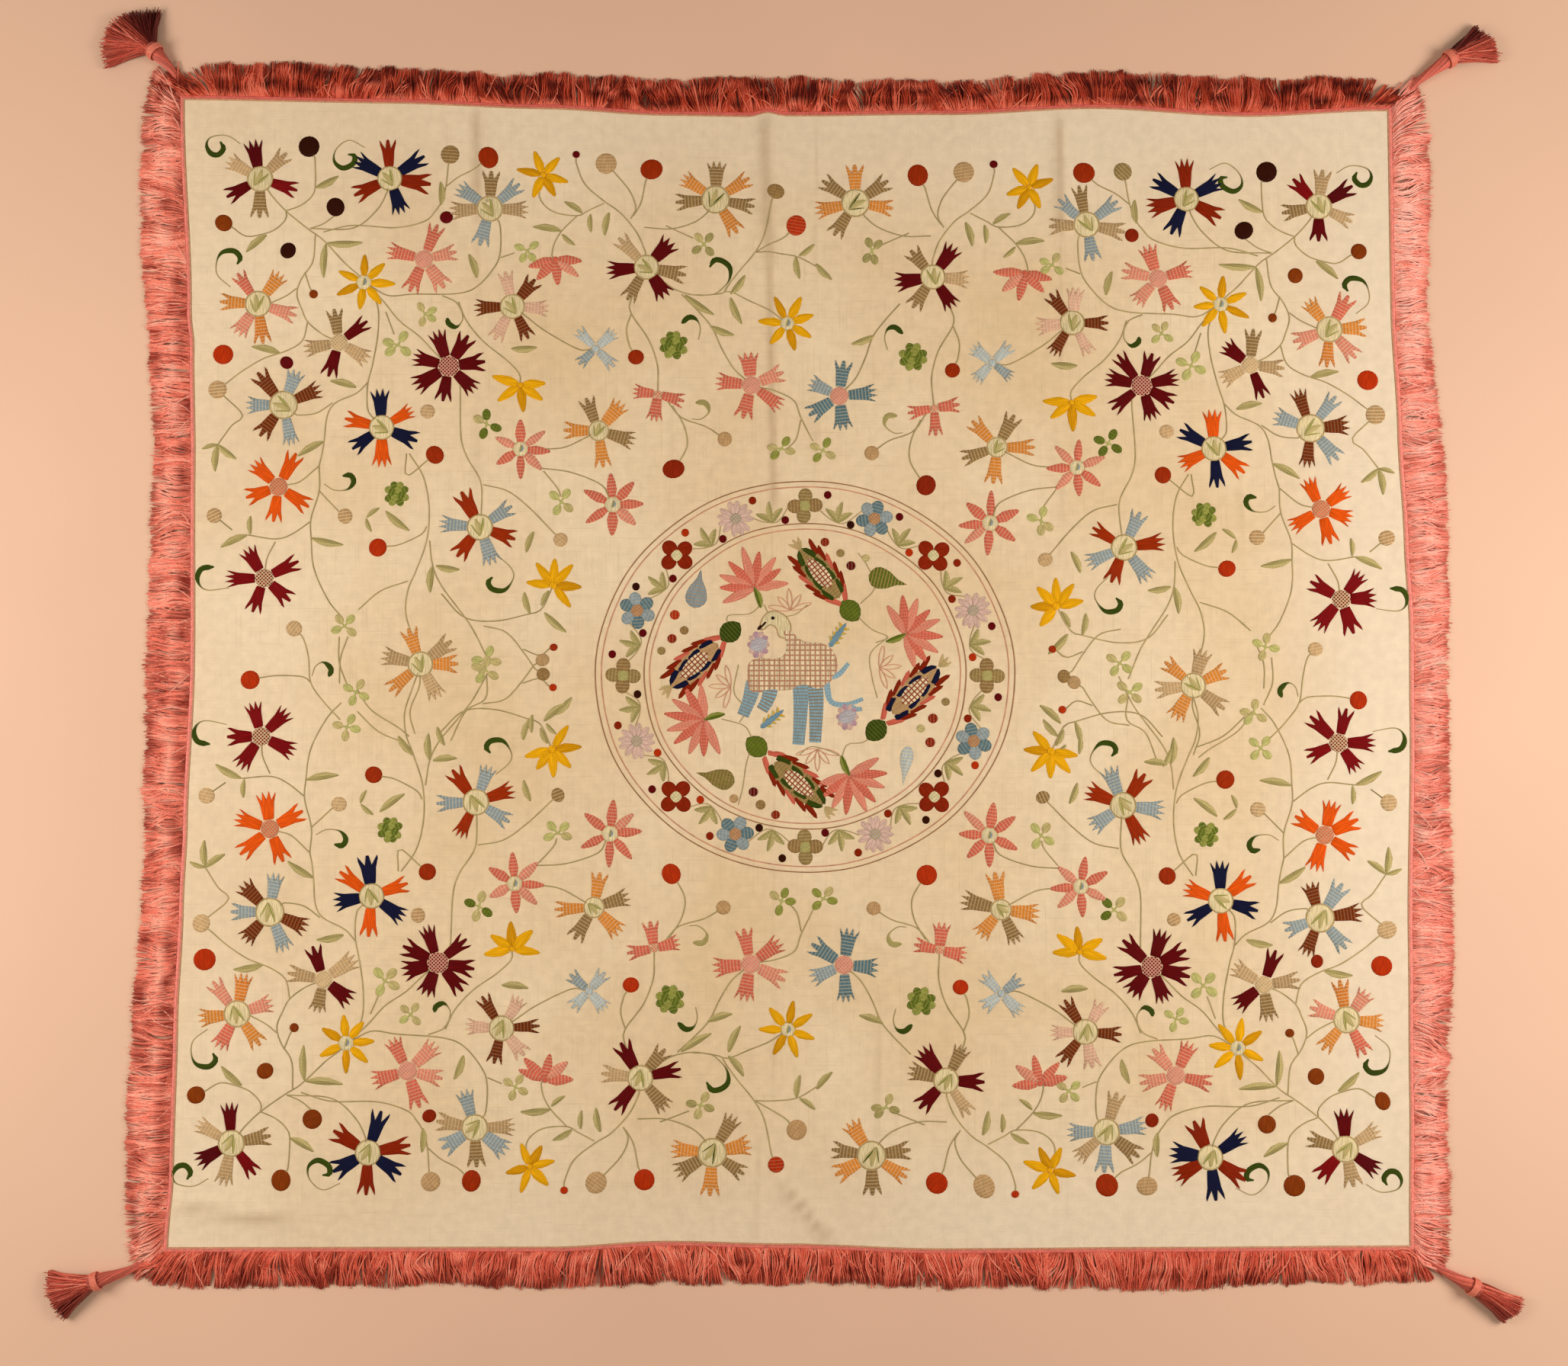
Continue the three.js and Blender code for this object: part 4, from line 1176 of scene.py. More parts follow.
garlandFlowers = [
    {"petals": 4, "size": 14.5, "reach": 18, "tints": ("olive", "drab"), "heart": "leaf", "net": "mint",
     "heartSize": 11},
    {"petals": 6, "size": 13, "reach": 21, "tints": ("blue", "sky"), "heart": "tan", "net": "clay",
     "heartSize": 12},
    {"petals": 4, "size": 15, "reach": 18.5, "tints": ("brick", "brick"), "bars": 0, "heart": "paleCream",
     "net": "mint", "heartSize": 11},
    {"petals": 12, "size": 6.5, "reach": 21, "long": 1.9, "tints": ("lilac", "lilac"), "heart": "beige",
     "net": "iceBlue", "heartSize": 11},
]


def addGarland(layer):
    step = 360 / medallion["garlandCount"]
    for i in range(medallion["garlandCount"]):
        kind = garlandFlowers[i % 4]
        angle = 90 - i * step
        at = garlandPoint(angle)
        size = (kind["size"] * 0.9, kind["size"] * kind.get("long", 1.0), 0.75)
        for k in range(kind["petals"]):
            turn = angle + 360 * k / kind["petals"] + 4 * rng.normal()
            stamp(layer, "disc", at + turnVector(turn, kind["reach"]), turn, [kind["tints"][k % 2]], size,
                  bars=kind.get("bars", 0.22), second="cream")
        stamp(layer, "disc", at, 45, [kind["heart"]], (kind["heartSize"], kind["heartSize"], 0.95), net=0.7,
              second=kind["net"])
        middle = angle - step / 2
        foot = garlandPoint(middle, medallion["leafFoot"])
        for lean, length in medallion["leaves"]:
            stamp(layer, "leaf", foot, middle + lean, ["leaf", "leafPale"], (1.0, length, 1), lean < 0,
                  bars=0.15, second="moss")
        for share, out in medallion["berrySpots"]:
            spot = garlandPoint(angle - step * share, out)
            tint = medallion["berryTints"][int(rng.integers(4))]
            stamp(layer, "disc", spot, 0, [tint], (7.5, 7, 0.7))
        arc = [garlandPoint(angle - step * share, out) for share, out in medallion["arc"]]
        sweep(layer, smoothPath(arc, 7), 1.0, 0.8, shade("stem"))


def addOutline(layer, points, tint, half):
    sweep(layer, smoothPath(points, 6, True)[:-1], half, 1.0, shade(tint), closed=True)


def padMaster(points, inset, rise):
    # Relief of an area with the given outline, round at its rim
    ring = smoothPath(points, 7, True)[:-1]
    deselectAll()
    bpy.ops.mesh.primitive_circle_add(vertices=len(ring), radius=1, fill_type="NGON")
    obj = bpy.context.object
    order = np.argsort(np.arctan2(readPoints(obj.data)[:, 1], readPoints(obj.data)[:, 0]))
    placed = np.zeros((len(ring), 3))
    placed[order, :2] = ring
    placed[:, 2] = -stitch["sunk"]
    writePoints(obj.data, placed)
    bpy.ops.object.mode_set(mode="EDIT")
    bpy.ops.mesh.select_all(action="SELECT")
    bpy.ops.mesh.normals_make_consistent(inside=False)
    bpy.ops.mesh.inset(thickness=inset, depth=0)
    bpy.ops.object.mode_set(mode="OBJECT")
    points3 = readPoints(obj.data)
    points3[len(ring):, 2] = rise
    writePoints(obj.data, points3)
    closeUnder(obj)
    return takeMaster(obj)


# The beast, from the middle of the medallion: outlines run anticlockwise
beast = {
    "body": [(-104, 4), (-101, 24), (-84, 32), (-54, 31), (-38, 38), (-34, 58), (-42, 80), (-28, 84),
             (-12, 68),
             (6, 60), (30, 59), (50, 46), (59, 20), (50, -6), (24, -26), (0, -18), (-28, -26), (-62, -27),
             (-100, -30)],
    "head": [(-30, 70), (-26, 92), (-38, 110), (-58, 117), (-74, 108), (-82, 88), (-76, 82), (-64, 92),
             (-52, 86), (-46, 70)],
    "legs": [[(-92, -12), (-100, -42), (-112, -72)], [(-62, -14), (-66, -40), (-78, -62)],
             [(-8, -10), (-8, -60), (-12, -124)], [(18, -12), (20, -60), (18, -120)]],
    "legHalf": 15.5, "legTaper": 3.5, "legBars": (0.6, 0.85),
    "tail": [[(40, -2), (60, 2), (78, 22)], [(38, -8), (46, -46), (74, -52), (104, -42)],
             [(74, -52), (90, -60), (102, -60)]],
    "tailHalf": 6.5, "tailTaper": 2.5, "eye": (-58, 104), "muzzle": (-70, 98),
    "buds": [(-84, 56), (76, -74)], "sprays": [((44, 52), 55), ((-80, -94), 38)],
}
# Outlines of the other padded forms
padded = {
    "cone": [(0, -34), (14, -22), (18, 0), (13, 22), (0, 38), (-13, 22), (-18, 0), (-14, -22)],
    "cup": [(0, -15), (10, -6), (11, 6), (0, 16), (-11, 6), (-10, -6)],
    "pear": [(0, -17), (13, -8), (11, 8), (4, 20), (0, 34), (-4, 20), (-11, 8), (-13, -8)],
}
masters["beastBody"] = padMaster(beast["body"], 3.0, 1.6)
masters["beastHead"] = padMaster(beast["head"], 2.4, 1.3)
masters["cone"] = padMaster(padded["cone"], 2.2, 1.6)
masters["cup"] = padMaster(padded["cup"], 2.2, 1.7)
masters["pear"] = padMaster(padded["pear"], 2.0, 1.6)

# flames and scales: how many, the place of the first along the cone and the step to the next, the share of
# the cone's width, and the lean of the first and how much less the next leans
cone = {
    "middle": 0.53, "halfLength": 0.42, "halfWidth": 29, "tuftPlace": 0.88,
    "flames": (6, 0.12, 0.12, 0.76, 27, 5), "scales": (4, 0.22, 0.165, 0.52, 22, 11),
}


def addCone(layer, cup, tip, teeth):
    # Seed head: netted core, dark teeth round it, red flames outside, and an oval cup at its foot
    reach = tip - cup
    length = float(np.hypot(*reach))
    turn = math.degrees(math.atan2(reach[1], reach[0]))
    ahead, sideways = reach / length, leftOf(reach) / length
    green = teeth == "forest"

    def addRow(side, values, tints, size, flip, lift=0.0):
        count, first, step, width, lean, less = values
        for k in range(count):
            part = first + step * k
            bulge = math.sqrt(max(0.05, 1 - ((part - cone["middle"]) / cone["halfLength"]) ** 2))
            spot = cup + ahead * length * part + sideways * side * width * cone["halfWidth"] * bulge
            stamp(layer, "flame", spot, turn + side * (lean - less * k), [tints[k % len(tints)]], size, flip,
                  lift=lift)

    for side in (-1, 1):
        addRow(side, cone["flames"], ("rose", "brick", "brick"), (1.5, 1.35, 0.9), side > 0)
    for side in (-1, 0, 1):
        stamp(layer, "leaf", cup + ahead * length * cone["tuftPlace"], turn + side * 26, ["sand", "leafPale"],
              (0.55, 0.7, 0.8))
    stamp(layer, "cone", cup + ahead * length * 0.53, turn, ["olive" if green else "tan"], (1.5, 1.62, 0.6),
          bars=0.3, second="sand", lift=0.1)
    for side in (-1, 1):
        addRow(side, cone["scales"], (teeth,), (1.6, 1.15, 0.8), side < 0, 0.8)
    stamp(layer, "cone", cup + ahead * length * 0.54, turn, ["paleCream"], (0.84, 0.94, 0.9), net=0.95,
          second="brick", lift=0.9, grain=0.62)
    stamp(layer, "cup", cup, turn, ["moss" if green else "forest"], (1.65, 1.5, 1), lift=0.3, bars=0.2,
          second="fern")


# Flowers, cones, fruits and berries round the beast, from the middle of the medallion
fans = [{"at": (-92, 160), "turn": 108}, {"at": (182, 76), "turn": 22}, {"at": (-182, -80), "turn": 196},
        {"at": (80, -180), "turn": 292}]
cones = [{"tip": (-20, 242), "cup": (82, 117), "teeth": "forest"},
         {"tip": (-254, -32), "cup": (-134, 80), "teeth": "navy"},
         {"tip": (256, 32), "cup": (127, -99), "teeth": "navy"},
         {"tip": (52, -250), "cup": (-88, -127), "teeth": "forest"}]
fruits = [{"at": (-196, 146), "turn": 80, "tint": "sky", "bars": "beige", "width": 1.5},
          {"at": (138, 176), "turn": -14, "tint": "moss", "bars": "tan", "width": 1.5},
          {"at": (-150, -186), "turn": 166, "tint": "olive", "bars": "moss", "width": 1.4},
          {"at": (182, -150), "turn": -98, "tint": "iceBlue", "bars": "paleCream", "width": 0.9}]
outlined = [{"at": (-26, 118), "turn": 95}, {"at": (134, 14), "turn": 5}, {"at": (-134, -20), "turn": 178},
            {"at": (22, -132), "turn": -90}]
smallBerries = [
    (-235, 110, 9, "scarlet"), (-240, 67, 8.5, "brick"), (-218, 82, 8, "drab"), (-259, 45, 7.5, "olive"),
    (36, 242, 8, "brick"), (83, 199, 8.5, "burgundy"), (64, 222, 7.5, "olive"), (110, 213, 7, "leafPale"),
    (230, -77, 9, "brick"), (225, -120, 9, "brick"), (253, -47, 7.5, "olive"), (208, -95, 7.5, "leafPale"),
    (-93, -209, 8.5, "burgundy"), (-80, -232, 9, "drab"), (-53, -250, 8, "brick"), (-128, -221, 8, "tan"),
]
twigs = [[(-78, 130), (-100, 112), (-140, 108), (-134, 84)], [(-74, 128), (-60, 108), (-20, 110), (4, 128)],
         [(90, 112), (120, 84), (150, 70), (128, 60)], [(150, 70), (118, 40), (120, 0), (130, -40)],
         [(-150, -78), (-110, -90), (-96, -112), (-90, -126)],
         [(-118, -84), (-106, -60), (-128, -30), (-120, 20)],
         [(66, -146), (76, -124), (104, -120), (126, -104)],
         [(66, -146), (40, -134), (10, -128), (-10, -142)],
         [(100, 130), (126, 160), (112, 200), (96, 222)],
         [(-96, -126), (-106, -160), (-112, -200), (-120, -232)]]


def addMedallion():
    layer = newLayer("embroidered_medallion")
    for i, radii in enumerate(medallion["rings"]):
        ring = np.array([medalPoint(a, radii) for a in np.arange(0, 360, medallion["ringStep"])])
        place = np.arange(len(ring))
        ring += np.column_stack([np.sin(place * 0.5), np.cos(place * 0.4)]) * medallion["wobble"]
        tint = "ringPink" if i % 2 else "ringBrown"
        sweep(layer, ring, medallion["ringHalf"], 0.9, shade(tint), closed=True)
    addGarland(layer)
    for points in twigs:
        path = smoothPath([fromMiddle(*p) for p in points], 7)
        sweep(layer, path, 1.0, 0.8, shade("stem"))
    for fan in fans:
        at = fromMiddle(*fan["at"])
        for j in (0, 8, 1, 7, 2, 6, 3, 5, 4):  # from the outer petals to the middle one
            turn = fan["turn"] + (j - 4) * 25 + 2 * rng.normal()
            reach = 1.72 - 0.06 * abs(j - 4) + 0.07 * rng.normal()
            stamp(layer, "star", at, turn, ["rose" if j % 2 else "pink"], (1.15, reach, 0.8 + 0.05 * j),
                  bars=0.25, second="blush")
        foot = at - turnVector(fan["turn"], 40)
        stamp(layer, "leaf", foot, fan["turn"], ["moss", "fern"], (1.0, 1.15, 1.5))
    for row in outlined:
        heart = fromMiddle(*row["at"])
        for lean, length in ((-75, 40), (-38, 34), (0, 40), (38, 34), (75, 42)):
            turn = row["turn"] + lean
            middle, left = heart + turnVector(turn, length * 0.55), turnVector(turn + 90, 4.5)
            tip = heart + turnVector(turn, length)
            addOutline(layer, [heart, middle + left, tip, middle - left], "ringPink", 0.8)
    for row in cones:
        addCone(layer, fromMiddle(*row["cup"]), fromMiddle(*row["tip"]), row["teeth"])
    for row in fruits:
        stamp(layer, "pear", fromMiddle(*row["at"]), row["turn"], [row["tint"]], (row["width"], 1.45, 1),
              bars=0.6, second=row["bars"])
    for x, y, size, tint in smallBerries:
        stamp(layer, "disc", fromMiddle(x, y), 0, [tint], (size, size, 0.8), bars=0.1)
    addBeast(layer)
    return layer


def addBeast(layer):
    origin = fromMiddle(0, 0)
    for i, leg in enumerate(beast["legs"]):
        path = smoothPath([origin + p for p in leg], 6)
        half = beast["legHalf"] - beast["legTaper"] * smooth(np.linspace(0, 1, len(path)))
        sweep(layer, path, half, 1.4, shade("beastBlue"), "drab", beast["legBars"][i % 2])
    stamp(layer, "beastBody", origin, 90, ["paleCream"], net=0.9, second="clay", lift=0.15, grain=0.5)
    stamp(layer, "beastHead", origin, 90, ["heart"], lift=0.3)
    addOutline(layer, [origin + p for p in beast["head"]], "beige", 0.9)
    stamp(layer, "disc", origin + beast["eye"], 0, ["black"], (3.2, 3.2, 1.2), lift=1.0)
    stamp(layer, "flame", origin + beast["muzzle"], 232, ["umber"], (1.1, 0.85, 1), lift=0.8)
    for points in beast["tail"]:
        path = smoothPath([origin + p for p in points], 6)
        half = beast["tailHalf"] - beast["tailTaper"] * np.linspace(0, 1, len(path))
        sweep(layer, path, half, 1.4, shade("beastBlue"), "iceBlue", 0.5)
    for at in beast["buds"]:
        for k in range(10):
            turn = 36 * k
            spot = origin + at + turnVector(turn, 17) * (0.8, 1.1)
            stamp(layer, "disc", spot, turn, ["violet" if k % 2 else "lilac"], (5.5, 6.5, 0.7))
        stamp(layer, "disc", origin + at, 20, ["iceBlue"], (14, 18, 0.9), net=0.7, second="violet")
    for at, turn in beast["sprays"]:
        for back in (6, 16, 26, 36):
            spot = origin + at + turnVector(turn, back)
            for lean in (-46, 46):
                stamp(layer, "leaf", spot, turn + lean, ["mint", "gold"], (0.45, 0.45, 0.9), lean < 0,
                      lift=0.2)
        stamp(layer, "star", origin + at, turn, ["tuftBlue"], (0.75, 1.25, 0.9), bars=0.4, second="sky",
              lift=0.3)


embroidery.append(finishLayer(addMedallion()))

# Strands: tubes of three sides along rows of points
def crossAxes(centres):
    # Two directions at right angles to strands, which run along the last axis but one
    tangent = np.gradient(centres, axis=-2)
    tangent /= np.linalg.norm(tangent, axis=-1, keepdims=True) + 1e-9
    across = np.cross(tangent, [0.0, 0.0, 1.0])
    across /= np.linalg.norm(across, axis=-1, keepdims=True) + 1e-9
    return across, np.cross(across, tangent)


def strandMesh(centres, radii, tones, sides=3):
    # Arrays of a mesh of many strands. centres is strand by ring by xyz in mm, radii strand by ring
    strands, rings = centres.shape[:2]
    across, upward = (direction[:, :, None] for direction in crossAxes(centres))
    angle = (np.arange(sides) / sides * 2 * math.pi + math.pi / 2)[:, None]
    circle = across * np.cos(angle) + upward * np.sin(angle)
    points = (centres[:, :, None] + circle * radii[:, :, None, None]).reshape(-1, 3)
    first = (np.arange(strands) * rings * sides)[:, None]
    base = first[:, :, None] + (np.arange(rings - 1) * sides)[None, :, None]
    k = np.arange(sides)
    after = (k + 1) % sides
    quads = np.stack([base + k, base + after, base + after + sides, base + k + sides], axis=3).reshape(-1)
    roots = (first + k[::-1]).reshape(-1)
    tips = (first + (rings - 1) * sides + k).reshape(-1)
    sizes = np.concatenate([np.full(strands * (rings - 1) * sides, 4), np.full(strands * 2, sides)])
    return points, np.concatenate([quads, roots, tips]), sizes, np.repeat(tones.reshape(-1, 3), sides, axis=0)


def joinMeshes(name, parts):
    points, corners, sizes, tones = zip(*parts)
    starts = np.cumsum([0] + [len(p) for p in points[:-1]])
    corners = [c + start for c, start in zip(corners, starts)]
    obj = meshFromArrays(name, *(np.concatenate(rows) for rows in (points, corners, sizes)))
    addColour(obj.data, "tone", np.concatenate(tones), "POINT")
    return obj


# Values in mm and degrees. Noises are [pitch, strength]. The section of the heading gives shares of its width
# and height, the lift of its loops and the share of the colour, lower for painted shade on the low loops and
# the foot:
# three corners of tape, coloured with a painted seam shadow, then the braid.
# For each side: lengths, colours of the pile from painted shade over mid to painted light, and along a
# strand, from 0 at the heading to 1 at the tip, how light the pile is painted: painted highlight and shade
# along the arch of the strands
fringe = {
    "headingWidth": 9, "headingHeight": 3.5, "headingLoop": 4.2, "paintedSeamShadow": (196, 140, 100),
    "section": [(0, 0, 0, 1), (0, 0.7, 0, 1), (0.16, 0.86, 0.27, 0.9), (0.4, 0.8, -0.45, 0.8),
                (0.66, 1, 0.54, 1),
                (0.9, 0.86, -0.27, 0.85), (1, 0.6, 0, 0.7), (1, 0, 0, 0.5)],
    "gap": 0.3, "strands": 4000, "rings": 6, "radius": 1.12, "thickness": (0.9, 1.1, 1.1, 1.1, 1.0, 0.75),
    "clumps": 150, "clumpPull": 0.22, "clumpReach": 12, "strays": 170, "strayLean": 38, "strayLevel": 0.85,
    "leanNoise": ((70, 1), (19, 0.8)), "leanJitter": 4.5, "mostLean": 42,
    "lengthNoise": ((45, 1.6), (11, 1.6)), "lengthJitter": 2.2, "waves": 17, "wavePhase": 1.9,
    "cornerTurn": 48, "cornerReach": 75, "mitreReach": 40, "layerDepth": 2.4, "archNoise": ((30, 0.15),),
    "swayNoise": ((14, 3.5),), "swayJitter": 2.4, "patchPitch": 26, "fineNoise": ((6, 0.5),),
    "bandNoise": ((130, 0.06),), "levelJitter": 0.17, "layerLight": 0.2,
    # The top side is painted darker and the right side paler than the rest: painted shade and painted light
    # from the side lamps
    "top": {"length": 58, "wave": 4, "arch": 8, "lean": 15, "dark": (104, 20, 6), "mid": (206, 78, 46),
            "light": (246, 142, 112), "braid": (216, 100, 86), "patch": 0.25,
            "along": [[0, 0.75], [0.13, 0.42], [0.45, 0.3], [0.8, 0.34], [1, 0.42]]},
    "right": {"length": 66, "wave": 7, "arch": 9, "lean": 9, "dark": (196, 88, 64), "mid": (255, 166, 144),
              "light": (255, 206, 188), "braid": (240, 136, 120), "patch": 0.13,
              "along": [[0, 0.5], [0.2, 0.68], [0.6, 0.62], [0.85, 0.45], [1, 0.15]]},
    "bottom": {"length": 61, "wave": 4, "arch": 8, "lean": 12, "dark": (146, 46, 28), "mid": (234, 112, 84),
               "light": (252, 166, 138), "braid": (224, 114, 98), "patch": 0.16,
               "along": [[0, 0.5], [0.3, 0.52], [0.7, 0.45], [1, 0.2]]},
    "left": {"length": 72, "wave": 6, "arch": 9, "lean": 7, "dark": (166, 60, 42), "mid": (246, 144, 118),
             "light": (255, 192, 168), "braid": (236, 130, 114), "patch": 0.2,
             "along": [[0, 0.3], [0.12, 0.3], [0.42, 0.72], [0.62, 0.62], [0.88, 0.4], [1, 0.25]]},
}


def slowNoise(place, pitch, length):
    # Smooth random values along a line, from -1 to 1 or so, with a hump for each pitch
    knots = rng.normal(size=int(length / pitch) + 4)
    at = np.clip(place, 0, length) / pitch
    k = at.astype(int)
    t = smooth(at - k)
    return knots[k] * (1 - t) + knots[k + 1] * t


def layeredNoise(place, length, layers):
    return sum(strength * slowNoise(place, pitch, length) for pitch, strength in layers)


def mitrePoint(index, offset):
    # Corner of a line that runs a little outside the linen, where the side meets the one before it
    side, before = sides[index], sides[index - 1]
    bisector = side["out"] + before["out"]
    bisector /= np.hypot(*bisector)
    return side["start"] + bisector * (offset / (bisector @ side["out"]))


def edgeLine(index, offset, shares):
    # Line outside the linen at the given offset, its ends mitred
    side = sides[index]
    line = edgePoint(side, shares) + side["out"] * offset
    ends = mitrePoint(index, offset), mitrePoint((index + 1) % 4, offset)
    reach = fringe["mitreReach"]
    near = np.clip(1 - shares * side["length"] / reach, 0, 1)[:, None]
    far = np.clip(1 - (1 - shares) * side["length"] / reach, 0, 1)[:, None]
    line = line + near * (ends[0] - (side["start"] + side["out"] * offset))
    return line + far * (ends[1] - (side["end"] + side["out"] * offset))


def makeHeading(index, look):
    # Braided band: rows of slanting loops on a flat tape
    count = int(sides[index]["length"] / fringe["headingLoop"])
    shares = np.linspace(0, 1, count)
    width, height = fringe["headingWidth"], fringe["headingHeight"]
    beat = np.where(np.arange(count) % 2 == 0, 1.0, -1.0)
    rings, tint = [], []
    for i, (across, high, lift, tone) in enumerate(fringe["section"]):
        line = edgeLine(index, fringe["gap"] + across * width, shares)
        rings.append(np.column_stack([line, np.clip(high * height + lift * beat, 0, height + 1)]))
        # Painted shade: the tape takes the seam's shadow colour, and the braid's low loops and foot are
        # darkened
        tint.append(toLinear(fringe["paintedSeamShadow"] if i < 3 else look["braid"]) * tone)
    n = len(rings)
    points = np.stack(rings, axis=1).reshape(-1, 3)
    i = np.arange(count - 1)[:, None] * n
    k = np.arange(n)
    after = (k + 1) % n
    quads = np.stack([i + k, i + n + k, i + n + after, i + after], axis=2).reshape(-1)
    corners = np.concatenate([quads, k, (count - 1) * n + k[::-1]])
    sizes = np.concatenate([np.full((count - 1) * n, 4), [n, n]])
    tones = np.tile(tint, (count, 1)) * (1 + 0.08 * rng.normal(size=(count * n, 1)))
    return points, corners, sizes, np.clip(tones, 0, 1)


def leanOfStrands(look, share, place, span):
    # Each strand leans with its neighbours and a little to the middle of its own clump
    edges = np.sort(rng.random(fringe["clumps"] - 1))
    bounds = np.concatenate([[0], edges, [1]])
    clump = np.searchsorted(edges, share)
    toMiddle = ((bounds[:-1] + bounds[1:]) / 2)[clump] * span - place
    lean = look["lean"] * layeredNoise(place, span, fringe["leanNoise"])
    lean += fringe["clumpPull"] * np.clip(toMiddle, -fringe["clumpReach"], fringe["clumpReach"])
    return lean + fringe["leanJitter"] * rng.normal(size=len(share))


def mixTones(look, paintedLightLevel):
    # Colour from the dark of painted shade over mid to the painted light, for levels from 0 to 1
    dark, mid, light = (toLinear(look[key]) for key in ("dark", "mid", "light"))
    first, second = np.clip(paintedLightLevel * 2, 0, 1)[..., None], np.clip(paintedLightLevel * 2 - 1, 0, 1)[..., None]
    return dark + (mid - dark) * first + (light - mid) * second


def makeFringe(index, material):
    side = sides[index]
    look = fringe[side["name"]]
    count, rings, span = fringe["strands"], fringe["rings"], side["length"]
    share = np.clip(np.sort(rng.random(count)) * 1.004 - 0.002, 0, 1)
    root = edgeLine(index, fringe["gap"] + fringe["headingWidth"] * 0.95, share)
    place = share * span
    lean = leanOfStrands(look, share, place, span)
    wave = np.sin(share * fringe["waves"] + index * fringe["wavePhase"])
    length = look["length"] + look["wave"] * wave + layeredNoise(place, span, fringe["lengthNoise"])
    length += fringe["lengthJitter"] * rng.normal(size=count)
    stray = rng.random(count) < fringe["strays"] / count
    lean = np.where(stray, fringe["strayLean"] * rng.normal(size=count),
                    np.clip(lean, -fringe["mostLean"], fringe["mostLean"]))
    # Towards the corners the strands turn to fill the space between the two sides
    fromStart, fromEnd = place, span - place
    toCorner = smooth(np.clip(1 - np.minimum(fromStart, fromEnd) / fringe["cornerReach"], 0, 1))
    turn = np.radians(fringe["cornerTurn"]) * toCorner * np.where(fromStart < fromEnd, -1, 1)
    turn = turn + np.arctan2(lean, length)
    ahead = side["out"] * np.cos(turn)[:, None] + side["run"] * np.sin(turn)[:, None]
    # Strands of the upper layers stand higher, arch more and are painted lighter: painted light on the top of
    # the pile
    upper = rng.random(count)
    t = np.linspace(0, 1, rings)
    arch = look["arch"] * (0.35 + 0.75 * upper) * (1 + layeredNoise(place, span, fringe["archNoise"]))
    depth = fringe["layerDepth"] * upper
    height = (1.0 + depth)[:, None] * (1 - t) + (0.9 + depth)[:, None] * t
    height = np.clip(height + arch[:, None] * np.sin(np.pi * t ** 0.8), 0.9, look["arch"] + 4)
    sway = fringe["swayJitter"] * rng.normal(size=count) + layeredNoise(place, span, fringe["swayNoise"])
    sway = sway[:, None] * np.sin(np.pi * t * 1.6)
    flat = root[:, None] + ahead[:, None] * (length[:, None] * t)[:, :, None]
    flat = flat + leftOf(ahead)[:, None] * sway[:, :, None]
    centres = np.concatenate([flat, height[:, :, None]], axis=2)
    radii = fringe["radius"] * np.array(fringe["thickness"]) * (1 + 0.18 * rng.normal(size=(count, 1)))
    patches = np.column_stack([slowNoise(place, fringe["patchPitch"], span) for _ in range(rings)])
    patches += layeredNoise(place, span, fringe["fineNoise"])[:, None]
    # Painted light and shade along each strand and on the upper layers, with random patches and jitter
    paintedLightLevel = readTable(look["along"], t) + look["patch"] * patches
    paintedLightLevel += (layeredNoise(place, span, fringe["bandNoise"]) + fringe["levelJitter"] * rng.normal(size=count)
              + fringe["layerLight"] * (upper - 0.6))[:, None]
    paintedLightLevel = np.where(stray[:, None], fringe["strayLevel"], np.clip(paintedLightLevel, 0, 1))
    strands = strandMesh(centres, np.clip(radii, 0.6, 1.8), mixTones(look, paintedLightLevel))
    obj = joinMeshes("fringe_" + side["name"] + "_yarn", [strands, makeHeading(index, look)])
    finishPiece(obj, material, 70, ["fringe_" + side["name"]])
    return obj


fringeYarn = yarnMaterial("fringe yarn", yarnLook["fringe"])
fringes = [makeFringe(i, fringeYarn) for i in range(4)]

# Tassels. root is where the cord leaves the fringe, band the middle of the wrapped band.
# The skirt spreads between the two angles, in degrees. dark is its shaded end, 0 or 1, shade how strong
# the shade is, and short how much shorter the strands are there.
tassels = [
    {"name": "top_left", "side": 0, "root": (-1123, 1105), "band": (-1156, 1142), "fan": (82, 200),
     "length": 90, "dark": 0, "shade": 0.9, "short": 0.2},
    {"name": "top_right", "side": 1, "root": (1156, 1092), "band": (1208, 1128), "fan": (-4, 54),
     "length": 82, "dark": 1, "shade": 0.75, "short": 0.13},
    {"name": "bottom_right", "side": 2, "root": (1158, -1053), "band": (1209, -1080), "fan": (-52, -13),
     "length": 82, "dark": 0, "shade": 0.3, "short": 0.1},
    {"name": "bottom_left", "side": 3, "root": (-1164, -1052), "band": (-1221, -1070), "fan": (168, 233),
     "length": 80, "dark": 1, "shade": 0.45, "short": 0},
]
